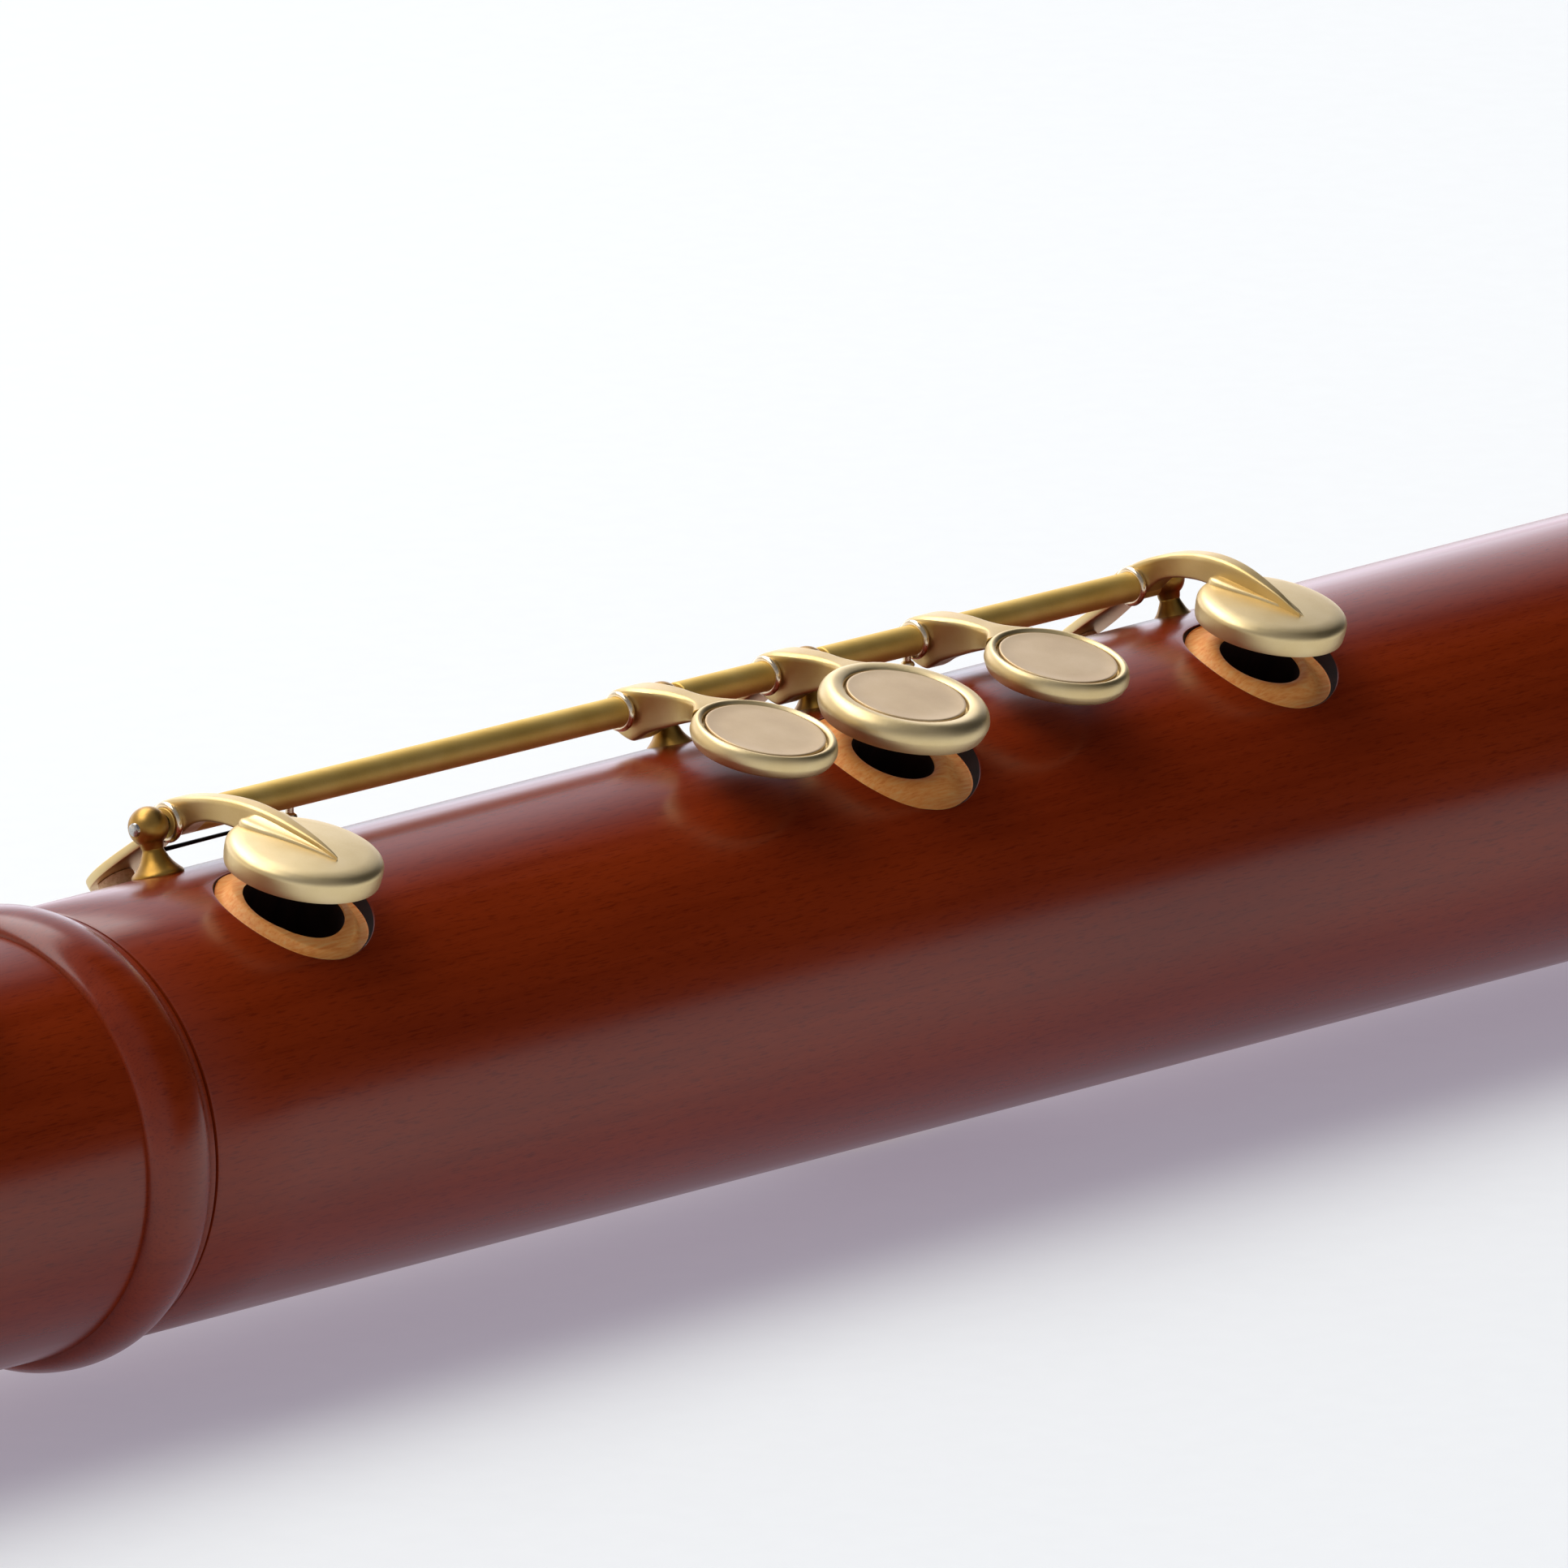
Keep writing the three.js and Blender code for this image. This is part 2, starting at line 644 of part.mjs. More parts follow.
function post(name, x, stationName) {
  const station = stations[stationName];
  const hinge = hingeOf(station);
  const head = Math.hypot(hinge.y, hinge.z);
  const foot = station.radius(x) + corkFit;
  const rise = head - foot;
  const loop = [
    [foot - shankLength, 0], [foot - shankLength, shankRadius], [foot, shankRadius],
    [foot, flangeRadius], [foot + flangeHeight * 0.6, flangeRadius],
    [foot + flangeHeight * 1.4, (flangeRadius + neckRadius) / 2],
    [foot + rise * 0.42, neckRadius],
    [head - ballRadius * 0.82, ballRadius * 0.57], [head - ballRadius * 0.45, ballRadius * 0.89],
    [head, ballRadius], [head + ballRadius * 0.5, ballRadius * 0.866],
    [head + ballRadius * 0.866, ballRadius * 0.5], [head + ballRadius, 0],
  ];
  const lean = postLean(station);
  const solid = turnedRadial(loop, x, lean)
    .subtract(bar(x - ballRadius * 2, x + ballRadius * 2, rodBore, hinge.y, hinge.z));
  add(name, solid, 'brass');
  shankHoles[stationName].push(drill(x, lean, shankRadius + shankFit,
    foot - shankLength - woodGap, foot + shankLength));
}

function rod(name, from, to, station) {
  const hinge = hingeOf(station);
  const solid = bar(from, to, rodRadius, hinge.y, hinge.z)
    .add(bar(from - screwHeadLength, from, screwHeadRadius, hinge.y, hinge.z));
  add(name, solid, 'steel');
}

// A needle spring fixed in a post, which bears on the peg under the hinge tube.
function spring(name, from, to, station) {
  const hinge = hingeOf(station);
  add(name, bar(from, to, springRadius, hinge.y + springAside, hinge.z - springDrop, 8), 'steel');
}

function pad(name, x, station) {
  const low = -padBelow;
  const round = padThickness / 6;
  add(name, disc([
    [0, low], [padRadius - round, low], [padRadius, low + round],
    [padRadius, low + padThickness], [0, low + padThickness],
  ], x, station, 0), 'pad');
}

// One key: a hinge tube with its arms, discs, back stop and spring peg soldered into one piece.
function key(name, spec, stationName) {
  const station = stations[stationName];
  const cupStation = { ...station, lift: seatLifts[spec.hole] };
  const hinge = hingeOf(station);
  const parts = [hingeTube(spec.from, spec.to, station), tail(spec.armX, station)];
  const topLow = fingerCupThickness - touchThickness;
  if (spec.touchX !== undefined) {
    parts.push(touchArm(spec.touchX, station, touchRadius, topLow, fingerCupThickness));
    parts.push(rimDisc(touchRadius, touchThickness, spec.touchX, station, topLow));
    parts.push(cupArm(spec.armX, cupStation), spearFoot(spec.cupX, cupStation),
      cupDisc(spec.cupX, cupStation));
    inlay(`${name}_inlay`, touchThickness, spec.touchX, station, topLow);
  } else {
    parts.push(touchArm(spec.armX, station, fingerCupRadius, topLow / 2, fingerCupThickness));
    parts.push(rimDisc(fingerCupRadius, fingerCupThickness, spec.cupX, station, 0)
      .subtract(padCell(spec.cupX, station)));
    inlay(`${name}_inlay`, fingerCupThickness, spec.cupX, station, 0);
  }
  parts.push(springPeg(spec.pegX, station));
  const bored = union(parts)
    .subtract(bar(spec.from - armWidth, spec.to + armWidth, rodBore, hinge.y, hinge.z));
  add(name, bored, 'brass');
  pad(`${name}_pad`, spec.cupX, cupStation);
  tailCork(`${name}_stop_cork`, spec.armX, station);
  spring(`${name}_spring`, spec.springX, spec.pegX + pegRadius * 3, station);
}

// A hole in a sunk seat that rises to a crest, which a pad closes on.
function seatedHole(x, station, radius, seatRadius, lift) {
  const crest = seatHeight + station.rise + lift;
  const floor = crest - seatDish;
  const top = crest + bodyRadius;
  return turnedRadial([
    [crest, 0], [crest, radius + seatCrest], [floor, seatRadius - seatDish],
    [floor, seatRadius], [top, seatRadius], [top, 0],
  ], x, -holeLean, discSides)
    .add(drill(x, -holeLean, radius, boreAtFootEnd / 2, top, discSides));
}

const halfArm = armWidth / 2;
const keyEnd = halfArm + postGap;

// Right hand: three keys on one hinge line between four posts
const sixthTouchX = -20.9;
const fifthArmX = 0.7;
const fourthTouchX = 23;
const fourthArmX = fourthHoleX - postGap * 5;
const postOneX = sixthHoleX - keyEnd - postStep - postGap * 8;
const postTwoX = sixthTouchX + keyEnd + postStep;
const postThreeX = fifthArmX + keyEnd + postStep;
const postFourX = fourthArmX + keyEnd + postStep;
const rightPosts = [postOneX, postTwoX, postThreeX, postFourX];
rightPosts.forEach((x, i) => post(`post_${i + 1}`, x, 'right'));
rod('hinge_rod', postOneX - ballRadius, postFourX, stations.right);
key('key_6', {
  hole: 'sixth', from: postOneX + postStep, to: postTwoX - postStep, armX: sixthHoleX, cupX: sixthHoleX,
  touchX: sixthTouchX, pegX: sixthHoleX + cupRadius * 2, springX: postOneX + neckRadius + postGap,
}, 'right');
key('key_5', {
  hole: 'fifth', from: postTwoX + postStep, to: postThreeX - postStep, armX: fifthArmX, cupX: 0,
  pegX: postTwoX + ballRadius * 4, springX: postTwoX + neckRadius + postGap,
}, 'right');
key('key_4', {
  hole: 'fourth', from: postThreeX + postStep, to: postFourX - postStep, armX: fourthArmX, cupX: fourthHoleX,
  touchX: fourthTouchX, pegX: fourthTouchX - touchRadius / 2, springX: postThreeX + neckRadius + postGap,
}, 'right');

// Left hand: one key over the third hole
const thirdArmX = thirdHoleX + fifthArmX;
const postSixX = thirdArmX + keyEnd + postStep;
const postFiveX = thirdHoleX - cupRadius * 2;
post('post_5', postFiveX, 'left');
post('post_6', postSixX, 'left');
rod('left_hinge_rod', postFiveX - ballRadius, postSixX, stations.left);
key('key_3', {
  hole: 'third', from: postFiveX + postStep, to: postSixX - postStep, armX: thirdArmX, cupX: thirdHoleX,
  pegX: postFiveX + ballRadius * 4, springX: postFiveX + neckRadius + postGap,
}, 'left');

// Foot: one key over the seventh hole
const seventhTouchX = seventhHoleX + touchRadius * 4;
const postSevenX = seventhHoleX - keyEnd - postStep - postGap * 8;
const postEightX = seventhTouchX + keyEnd + postStep;
post('post_7', postSevenX, 'foot');
post('post_8', postEightX, 'foot');
rod('foot_hinge_rod', postSevenX - ballRadius, postEightX, stations.foot);
key('key_7', {
  hole: 'seventh', from: postSevenX + postStep, to: postEightX - postStep, armX: seventhHoleX, cupX: seventhHoleX,
  touchX: seventhTouchX, pegX: seventhHoleX + cupRadius * 2, springX: postSevenX + neckRadius + postGap,
}, 'foot');

// Tone holes through the wood
const seatedHoles = [
  { name: 'sixth', x: sixthHoleX, station: stations.right },
  { name: 'fifth', x: 0, station: stations.right },
  { name: 'fourth', x: fourthHoleX, station: stations.right },
  { name: 'third', x: thirdHoleX, station: stations.left },
];
seatedHoles.forEach(({ name, x, station }) => {
  centreJoint = centreJoint.subtract(seatedHole(x, station, holeRadii[name], seatRadii[name],
    seatLifts[name]));
});
const openHoles = [['second', secondHoleX], ['first', firstHoleX]];
openHoles.forEach(([name, x]) => {
  centreJoint = centreJoint.subtract(drill(x, -holeLean, holeRadii[name], boreAtFootEnd / 2,
    bodyRadius * 2, discSides));
});
const backLean = 180 - holeLean;
centreJoint = centreJoint.subtract(drill(thumbHoleX, backLean, holeRadii.thumb, boreAtFootEnd / 2,
  bodyRadius * 2, discSides));
[...shankHoles.right, ...shankHoles.left].forEach((hole) => {
  centreJoint = centreJoint.subtract(hole);
});
footJoint = footJoint.subtract(seatedHole(seventhHoleX, stations.foot,
  holeRadii.seventh, seatRadii.seventh, seatLifts.seventh));
shankHoles.foot.forEach((hole) => {
  footJoint = footJoint.subtract(hole);
});

// Thumb rest: a saddle plate with a ledge, which also props the body when it lies down.
const plateLow = radiusAt(thumbRestX + thumbPlateLength) + corkFit;
const saddle = turned([
  [thumbRestX - thumbPlateLength / 2, plateLow],
  [thumbRestX - thumbPlateLength / 2, plateLow + thumbPlateThickness],
  [thumbRestX + thumbPlateLength / 2, plateLow + thumbPlateThickness],
  [thumbRestX + thumbPlateLength / 2, plateLow],
]);
function onBack(geometry) {
  geometry.rotateX(-backLean * degree);
  return solidOf(geometry);
}
const plateOutline = new THREE.CylinderGeometry(thumbPlateLength / 2, thumbPlateLength / 2,
  bodyRadius * 2, discSides);
plateOutline.rotateX(Math.PI / 2);
plateOutline.scale(1, thumbPlateWidth / thumbPlateLength, 1);
plateOutline.translate(thumbRestX, 0, bodyRadius);
const ledgeTop = (axisHeight - ledgeRound) / Math.cos(holeLean * degree);
const ledgeShape = new THREE.Shape();
ledgeShape.moveTo(-ledgeWidth / 2, plateLow + thumbPlateThickness / 2);
ledgeShape.lineTo(-ledgeRound, ledgeTop);
ledgeShape.absarc(0, ledgeTop, ledgeRound, Math.PI, 0, true);
ledgeShape.lineTo(ledgeWidth / 2, plateLow + thumbPlateThickness / 2);
let thumbRest = saddle.intersect(onBack(plateOutline))
  .add(sectionPlate(ledgeShape, thumbRestX, ledgeThickness, 0, 0).rotate([-backLean, 0, 0]));
const screwSigns = [-1, 1];
screwSigns.forEach((sign, i) => {
  const x = thumbRestX + sign * restScrewPlace;
  const hole = drill(x, backLean, restScrewRadius + shankFit, plateLow - shankLength - woodGap,
    ringRadius * 2, roundSides);
  thumbRest = thumbRest.subtract(hole);
  centreJoint = centreJoint.subtract(hole);
  const capLow = plateLow + thumbPlateThickness + corkFit;
  add(`thumb_rest_screw_${i + 1}`, turnedRadial([
    [plateLow - shankLength, 0], [plateLow - shankLength, restScrewRadius],
    [capLow, restScrewRadius], [capLow, screwCapRadius],
    [capLow + screwCapHeight / 2, screwCapRadius * 0.9], [capLow + screwCapHeight, 0],
  ], x, backLean), 'steel');
});
add('thumb_rest', thumbRest, 'brass');

// Sling eye, screwed into the back
const eyeFoot = radiusAt(eyeX) + corkFit;
const eyeCentre = (axisHeight - eyeRadius - woodGap) / Math.cos(holeLean * degree);
const eyeDisc = new THREE.CylinderGeometry(eyeRadius, eyeRadius, eyeThickness, roundSides);
eyeDisc.rotateZ(Math.PI / 2);
eyeDisc.translate(eyeX, 0, eyeCentre);
const eyeHole = new THREE.CylinderGeometry(eyeHoleRadius, eyeHoleRadius, eyeThickness * 2, roundSides);
eyeHole.rotateZ(Math.PI / 2);
eyeHole.translate(eyeX, 0, eyeCentre);
const eyeBase = turnedRadial([
  [eyeFoot - shankLength, 0], [eyeFoot - shankLength, shankRadius], [eyeFoot, shankRadius],
  [eyeFoot, flangeRadius], [eyeFoot + flangeHeight, flangeRadius], [eyeFoot + flangeHeight, 0],
], eyeX, backLean);
const eyeWood = turned([
  [eyeX - eyeRadius, 0], [eyeX - eyeRadius, eyeFoot],
  [eyeX + eyeRadius, eyeFoot], [eyeX + eyeRadius, 0],
]);
add('sling_eye', eyeBase.add(onBack(eyeDisc).subtract(eyeWood)).subtract(onBack(eyeHole)), 'brass');
centreJoint = centreJoint.subtract(drill(eyeX, backLean, shankRadius + shankFit,
  eyeFoot - shankLength - woodGap, eyeFoot + shankLength));

add('centre_joint', centreJoint, 'wood');
add('foot_joint', footJoint, 'wood');
add('head_joint', headJoint, 'wood');
add('cap', cap, 'wood');
add('block', block, 'pale_wood');
tenonCork('lower_tenon_cork', centreLowX + corkMargin + corkFit, footSeamX - corkMargin - corkFit,
  lowerTenonRadius);
tenonCork('upper_tenon_cork', headSeamX + corkMargin + corkFit, centreHighX - corkMargin - corkFit,
  upperTenonRadius);

// Bocal: a brass crook bent to one side, with a cork sleeve, a collar and a mouthpiece
const bend = bocalBendAngle * degree;
const corner = [];
const bendSteps = 11;
corner.push(new THREE.Vector3(bocalStartX, 0, 0));
for (let i = 0; i <= bendSteps; i += 1) {
  const turn = bend * i / bendSteps;
  corner.push(new THREE.Vector3(bocalBendX + bocalBendRadius * Math.sin(turn),
    bocalBendRadius * (1 - Math.cos(turn)), 0));
}
const heading = new THREE.Vector3(Math.cos(bend), Math.sin(bend), 0);
const crookEnd = corner[corner.length - 1].clone().addScaledVector(heading, bocalReach);
corner.push(crookEnd);

// A tube swept through the corners of a path, one ring of points at each corner.
function swept(corners, radius) {
  const rings = corners.map((point, i) => {
    const before = corners[Math.max(i - 1, 0)];
    const after = corners[Math.min(i + 1, corners.length - 1)];
    const along = after.clone().sub(before).normalize();
    const side = new THREE.Vector3(-along.y, along.x, 0);
    const ring = [];
    for (let k = 0; k < bocalSides; k += 1) {
      const turn = (k + 0.5) / bocalSides * Math.PI * 2;
      ring.push(point.clone().addScaledVector(side, radius * Math.cos(turn))
        .add(new THREE.Vector3(0, 0, radius * Math.sin(turn))));
    }
    return ring;
  });
  const points = [...rings.flat(), corners[0], corners[corners.length - 1]];
  const index = [];
  const first = rings.length * bocalSides;
  for (let i = 0; i < rings.length - 1; i += 1) {
    for (let k = 0; k < bocalSides; k += 1) {
      const next = (k + 1) % bocalSides;
      const [a, b] = [i * bocalSides + k, i * bocalSides + next];
      index.push(a, b, a + bocalSides, b, b + bocalSides, a + bocalSides);
    }
  }
  for (let k = 0; k < bocalSides; k += 1) {
    const next = (k + 1) % bocalSides;
    const last = (rings.length - 1) * bocalSides;
    index.push(first, next, k, first + 1, last + k, last + next);
  }
  const geometry = new THREE.BufferGeometry().setFromPoints(points);
  geometry.setIndex(index);
  return solidOf(geometry);
}

const boreCorners = corner.map((point) => point.clone());
boreCorners[0].x -= collarLength;
boreCorners[boreCorners.length - 1].addScaledVector(heading, collarLength);
const collar = bar(capEndX + woodGap * 2, capEndX + woodGap * 2 + collarLength, collarRadius, 0, 0, discSides);
add('bocal', swept(corner, bocalRadius).add(collar).subtract(swept(boreCorners, bocalRadius - bocalWall)),
  'brass');
const sleeveInner = bocalRadius + corkFit;
add('bocal_cork', turned([
  [bocalCorkStartX, sleeveInner], [bocalCorkStartX, bocalCorkRadius],
  [bocalCorkEndX, bocalCorkRadius], [bocalCorkEndX, sleeveInner],
]), 'cork');

// The mouthpiece slips over the end of the crook and flattens towards the lips.
const mouthPoints = [
  [0, bocalRadius + slideFit], [0, mouthRadius * 0.85], [mouthLength * 0.08, mouthRadius],
  [mouthLength * 0.4, mouthRadius * 0.9], [mouthLength * 0.75, mouthTipRadius],
  [mouthLength * 0.95, mouthTipRadius], [mouthLength, mouthTipRadius * 0.85],
  [mouthLength, bocalRadius - bocalWall], [mouthOverlap + woodGap, bocalRadius - bocalWall],
  [mouthOverlap + woodGap, bocalRadius + slideFit], [0, bocalRadius + slideFit],
].map(([height, radius]) => new THREE.Vector2(radius, height));
const mouth = new THREE.LatheGeometry(mouthPoints, discSides, Math.PI / discSides);
mouth.rotateZ(bend - Math.PI / 2);
const mouthStart = crookEnd.clone().addScaledVector(heading, -mouthOverlap);
mouth.translate(mouthStart.x, mouthStart.y, 0);
add('mouthpiece', solidOf(mouth), 'wood');

// The origin is the middle of the box that holds the whole object, on the surface it lies on.
const box = new THREE.Box3().setFromObject(group);
const middle = box.getCenter(new THREE.Vector3());
group.children.forEach((mesh) => {
  mesh.position.x -= middle.x;
  mesh.position.y -= middle.y;
  mesh.position.z -= box.min.z;
});

export default group;
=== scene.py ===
"""Looks of the bass recorder: turned wood, soldered keywork, pads, corks, springs, crook and stage."""

import json
import math
from dataclasses import dataclass
from typing import Callable

import bpy
import numpy as np
from bpy.props import FloatProperty, FloatVectorProperty, IntProperty, PointerProperty
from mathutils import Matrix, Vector

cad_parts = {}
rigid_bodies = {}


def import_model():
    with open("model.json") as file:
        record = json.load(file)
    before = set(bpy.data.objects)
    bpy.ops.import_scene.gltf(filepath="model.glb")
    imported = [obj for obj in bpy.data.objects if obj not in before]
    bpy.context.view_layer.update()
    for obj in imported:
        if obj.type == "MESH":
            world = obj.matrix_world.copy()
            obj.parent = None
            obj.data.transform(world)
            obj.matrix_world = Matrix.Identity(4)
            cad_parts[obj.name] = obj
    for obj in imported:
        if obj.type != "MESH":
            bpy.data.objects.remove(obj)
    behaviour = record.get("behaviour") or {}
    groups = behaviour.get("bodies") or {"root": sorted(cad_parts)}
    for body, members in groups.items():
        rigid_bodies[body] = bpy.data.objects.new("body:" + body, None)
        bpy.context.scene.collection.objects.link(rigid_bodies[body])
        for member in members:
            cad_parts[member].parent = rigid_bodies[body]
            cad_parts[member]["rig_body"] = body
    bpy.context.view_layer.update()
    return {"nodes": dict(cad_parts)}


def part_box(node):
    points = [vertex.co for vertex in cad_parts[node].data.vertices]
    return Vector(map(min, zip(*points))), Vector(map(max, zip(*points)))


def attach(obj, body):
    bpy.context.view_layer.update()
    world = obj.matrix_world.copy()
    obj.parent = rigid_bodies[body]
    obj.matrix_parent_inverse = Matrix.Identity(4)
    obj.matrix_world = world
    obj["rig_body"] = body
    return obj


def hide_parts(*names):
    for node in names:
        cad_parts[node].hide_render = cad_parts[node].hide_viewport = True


bl_info = {
    "name": "Bass recorder",
    "version": (1, 0, 0),
    "blender": (4, 5, 0),
    "location": "View3D > Sidebar > Recorder",
    "description": "Builds the finished pieces of a bass recorder on its packed frame",
    "category": "Object",
}

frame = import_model()

MM = 0.001
X_AXIS = np.array([1.0, 0.0, 0.0])
BORE_ABOVE_FLOOR = 24.88
SHARP_EDGE = math.radians(32)
BEAD_STEPS = 24
BELL_STEPS = 16

# Sizes of the body in millimetres, as in the CAD source
BODY_RADIUS = 22.0
BODY_TAPER = 0.006
RING_RADIUS = 25.0
FOOT_SEAM_X = -111.0
FOOT_RING_X = FOOT_SEAM_X - 9.4
FOOT_END_X = -302.0
BELL_X = -268.0
HEAD_SEAM_X = 330.0
WINDWAY_X = 600.0
CAP_SEAM_X = 640.0
HEAD_TOP_X = 664.0
CAP_END_X = 712.0
TENON_LENGTH = 42.0
LOWER_TENON_X = FOOT_SEAM_X - TENON_LENGTH
UPPER_TENON_X = HEAD_SEAM_X + TENON_LENGTH
SOCKET_DEPTH = 43.0
LOWER_TENON_RADIUS = 16.6
UPPER_TENON_RADIUS = 19.4
CAP_TENON_RADIUS = 19.6
BORE_FOOT_END = 10.8
BORE_FOOT_SEAM = 13.0
BORE_HEAD = 17.5
HEAD_RADIUS = 23.6
FOOT_RADIUS = 21.0
WAIST_RADIUS = 19.0
BELL_RADIUS = 23.4
BELL_BAND = 12.0
SLIDE_FIT = 0.08
CORK_DEPTH = 0.9
CORK_MARGIN = 5.0
SEAM_GAP = 0.3
BEAD_DIP = 0.15

low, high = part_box("centre_joint")
# The body frame has its X axis down the bore and its zero at the middle tone hole, in millimetres.
SHIFT = np.array([
    low.x / MM - LOWER_TENON_X,
    (low.y + high.y) / 2 / MM,
    (low.z + high.z) / 2 / MM,
])

# Places of the tone holes along the bore, from the foot up
HOLE_7_X = -172.0
HOLE_6_X = -86.9
HOLE_5_X = 0.0
HOLE_4_X = 55.9
HOLE_3_X = 146.0
HOLE_2_X = 195.0
HOLE_1_X = 262.0
THUMB_HOLE_X = 288.0

# Sizes of the keywork in millimetres
HOLE_LEAN = math.radians(24)
OPEN_ANGLE = math.radians(10)
CUP_TILT = HOLE_LEAN - OPEN_ANGLE
SEAT_CREST = 21.2
SEAT_DISH = 1.0
SEAT_RIDGE = 0.5
CUP_HEIGHT = 21.8
ROD_Y = 6.8
ROD_Z = 25.3
TUBE_RADIUS = 1.55
CUP_RADIUS = 7.8
CUP_THICKNESS = 2.6
CUP_DOME = 0.45
TOUCH_RADIUS = 7.45
TOUCH_THICKNESS = 2.4
FINGER_RADIUS = 8.75
FINGER_THICKNESS = 3.1
TOUCH_LOW = FINGER_THICKNESS - TOUCH_THICKNESS
INLAY_RADIUS = 6.1
ARM_WIDTH = 2.5
LONG_ARM = 21.1
BALL_RADIUS = 2.0
BALL_CLEARANCE = 0.1
TAIL_DROP = math.radians(36.99)
CORK_ALONG_TAIL = 11.2
NEEDLE_BEND = 0.55


def directions(turn=0.0):
    """The way out of the bore at a turn about it, counted from the tone holes, and the way across that."""
    angle = HOLE_LEAN + turn
    out = np.array([0.0, -math.sin(angle), math.cos(angle)])
    across = np.array([0.0, -math.cos(angle), -math.sin(angle)])
    return out, across


HOLE_AXIS = directions()[0]


def body_radius(x):
    """Radius of the middle joint, which tapers towards the foot."""
    return BODY_RADIUS + BODY_TAPER * x


def foot_radius(x):
    """Radius of the foot, which narrows from its ring to its waist."""
    return FOOT_RADIUS + (WAIST_RADIUS - FOOT_RADIUS) * (x - FOOT_RING_X) / (BELL_X - FOOT_RING_X)


@dataclass
class ToneHole:
    """A hole through the wall. A keyed hole also has a flat seat, dished below its crest."""
    x: float
    radius: float
    seat: float = 0.0
    crest: float = 0.0
    dish: float = SEAT_DISH
    turn: float = 0.0


@dataclass
class Station:
    """One hinge rod with its posts. The rise is how far it stands out from the right-hand one."""
    body: str
    wood: Callable
    rise: float
    rod: str
    posts: dict

    def hinge(self):
        """A point of the rod's line, at x = 0."""
        return np.array([0.0, ROD_Y, ROD_Z]) + HOLE_AXIS * self.rise


@dataclass
class Key:
    """Places of one key along the bore. Flares widen its arms where they meet the tube. A key without
    a touch is pressed on its cup. One with a touch has a long arm to its cup, which the arch raises
    between its ends and the lift raises at the cup."""
    station: str
    posts: tuple
    arm: float
    cup: float
    peg: float
    flares: tuple
    touch: float = None
    arch: float = 0.0
    lift: float = 0.0

    def tube_ends(self):
        """The hinge tube fills the room between the balls of its two posts."""
        posts = STATIONS[self.station].posts
        first, last = self.posts
        return posts[first] + BALL_RADIUS + BALL_CLEARANCE, posts[last] - BALL_RADIUS - BALL_CLEARANCE


STATIONS = {
    "right": Station("centre", body_radius, 0.0, "hinge_rod",
                     {"post_1": -91.15, "post_2": -17.45, "post_3": 4.15, "post_4": 59.05}),
    "left": Station("centre", body_radius, body_radius(HOLE_3_X) - BODY_RADIUS, "left_hinge_rod",
                    {"post_5": 130.4, "post_6": 150.15}),
    "foot": Station("foot", foot_radius, foot_radius(HOLE_7_X) - BODY_RADIUS, "foot_hinge_rod",
                    {"post_7": -176.25, "post_8": -138.75}),
}
KEYS = {
    "key_6": Key("right", ("post_1", "post_2"), arm=HOLE_6_X, cup=HOLE_6_X, touch=-20.9, peg=-71.3,
                 flares=(0.45, 1.6)),
    "key_5": Key("right", ("post_2", "post_3"), arm=HOLE_5_X + 0.7, cup=HOLE_5_X, peg=-9.45, flares=(1.5,)),
    "key_4": Key("right", ("post_3", "post_4"), arm=HOLE_4_X - 0.3, cup=HOLE_4_X + 0.2, touch=23.0, peg=19.28,
                 flares=(0.75, 1.5), arch=0.9, lift=0.4),
    "key_3": Key("left", ("post_5", "post_6"), arm=HOLE_3_X + 0.7, cup=HOLE_3_X, peg=138.4, flares=(1.5,)),
    "key_7": Key("foot", ("post_7", "post_8"), arm=HOLE_7_X, cup=HOLE_7_X, touch=-142.2, peg=-156.4,
                 flares=(0.45, 1.5)),
}
CENTRE_HOLES = [
    ToneHole(HOLE_6_X, 5.15, seat=7.8, crest=SEAT_CREST, dish=SEAT_DISH + 0.1),
    ToneHole(HOLE_5_X, 4.35, seat=8.6, crest=SEAT_CREST),
    ToneHole(HOLE_4_X, 4.3, seat=7.85, crest=SEAT_CREST + 0.4),
    ToneHole(HOLE_3_X, 4.6, seat=8.6, crest=SEAT_CREST + STATIONS["left"].rise),
    ToneHole(HOLE_2_X, 4.8),
    ToneHole(HOLE_1_X, 4.6),
    ToneHole(THUMB_HOLE_X, 4.0, turn=math.pi),
]
FOOT_HOLES = [ToneHole(HOLE_7_X, 5.0, seat=8.0, crest=SEAT_CREST + STATIONS["foot"].rise)]


# Shapes

class Shape:
    """Points and faces in the body frame, in millimetres, with a finish number for each face."""

    def __init__(self):
        self.points = []
        self.faces = []
        self.finishes = []

    def add(self, points, faces, finish=0):
        start = len(self.points)
        self.points.extend(np.asarray(points, float))
        self.faces.extend([start + i for i in face] for face in faces)
        self.finishes.extend([finish] * len(faces))

    def add_skin(self, rings, finish=0):
        points, faces = skin(rings)
        self.add(points, outward(points, faces), finish)

    def add_turned(self, loop, sides, place, finish=0):
        points, faces = revolved(loop, sides, place)
        self.add(points, faces, finish)

    def build(self, name, *finishes):
        mesh = bpy.data.meshes.new(name)
        mesh.from_pydata(in_row_frame(self.points), [], self.faces)
        mesh.polygons.foreach_set("material_index", self.finishes)
        smooth(mesh)
        for finish in finishes:
            mesh.materials.append(FINISHES[finish])
        return linked(name, mesh)


def in_row_frame(points):
    """Points of the body frame in metres, where the object lies on the floor."""
    return ((np.array(points) + SHIFT) * MM).tolist()


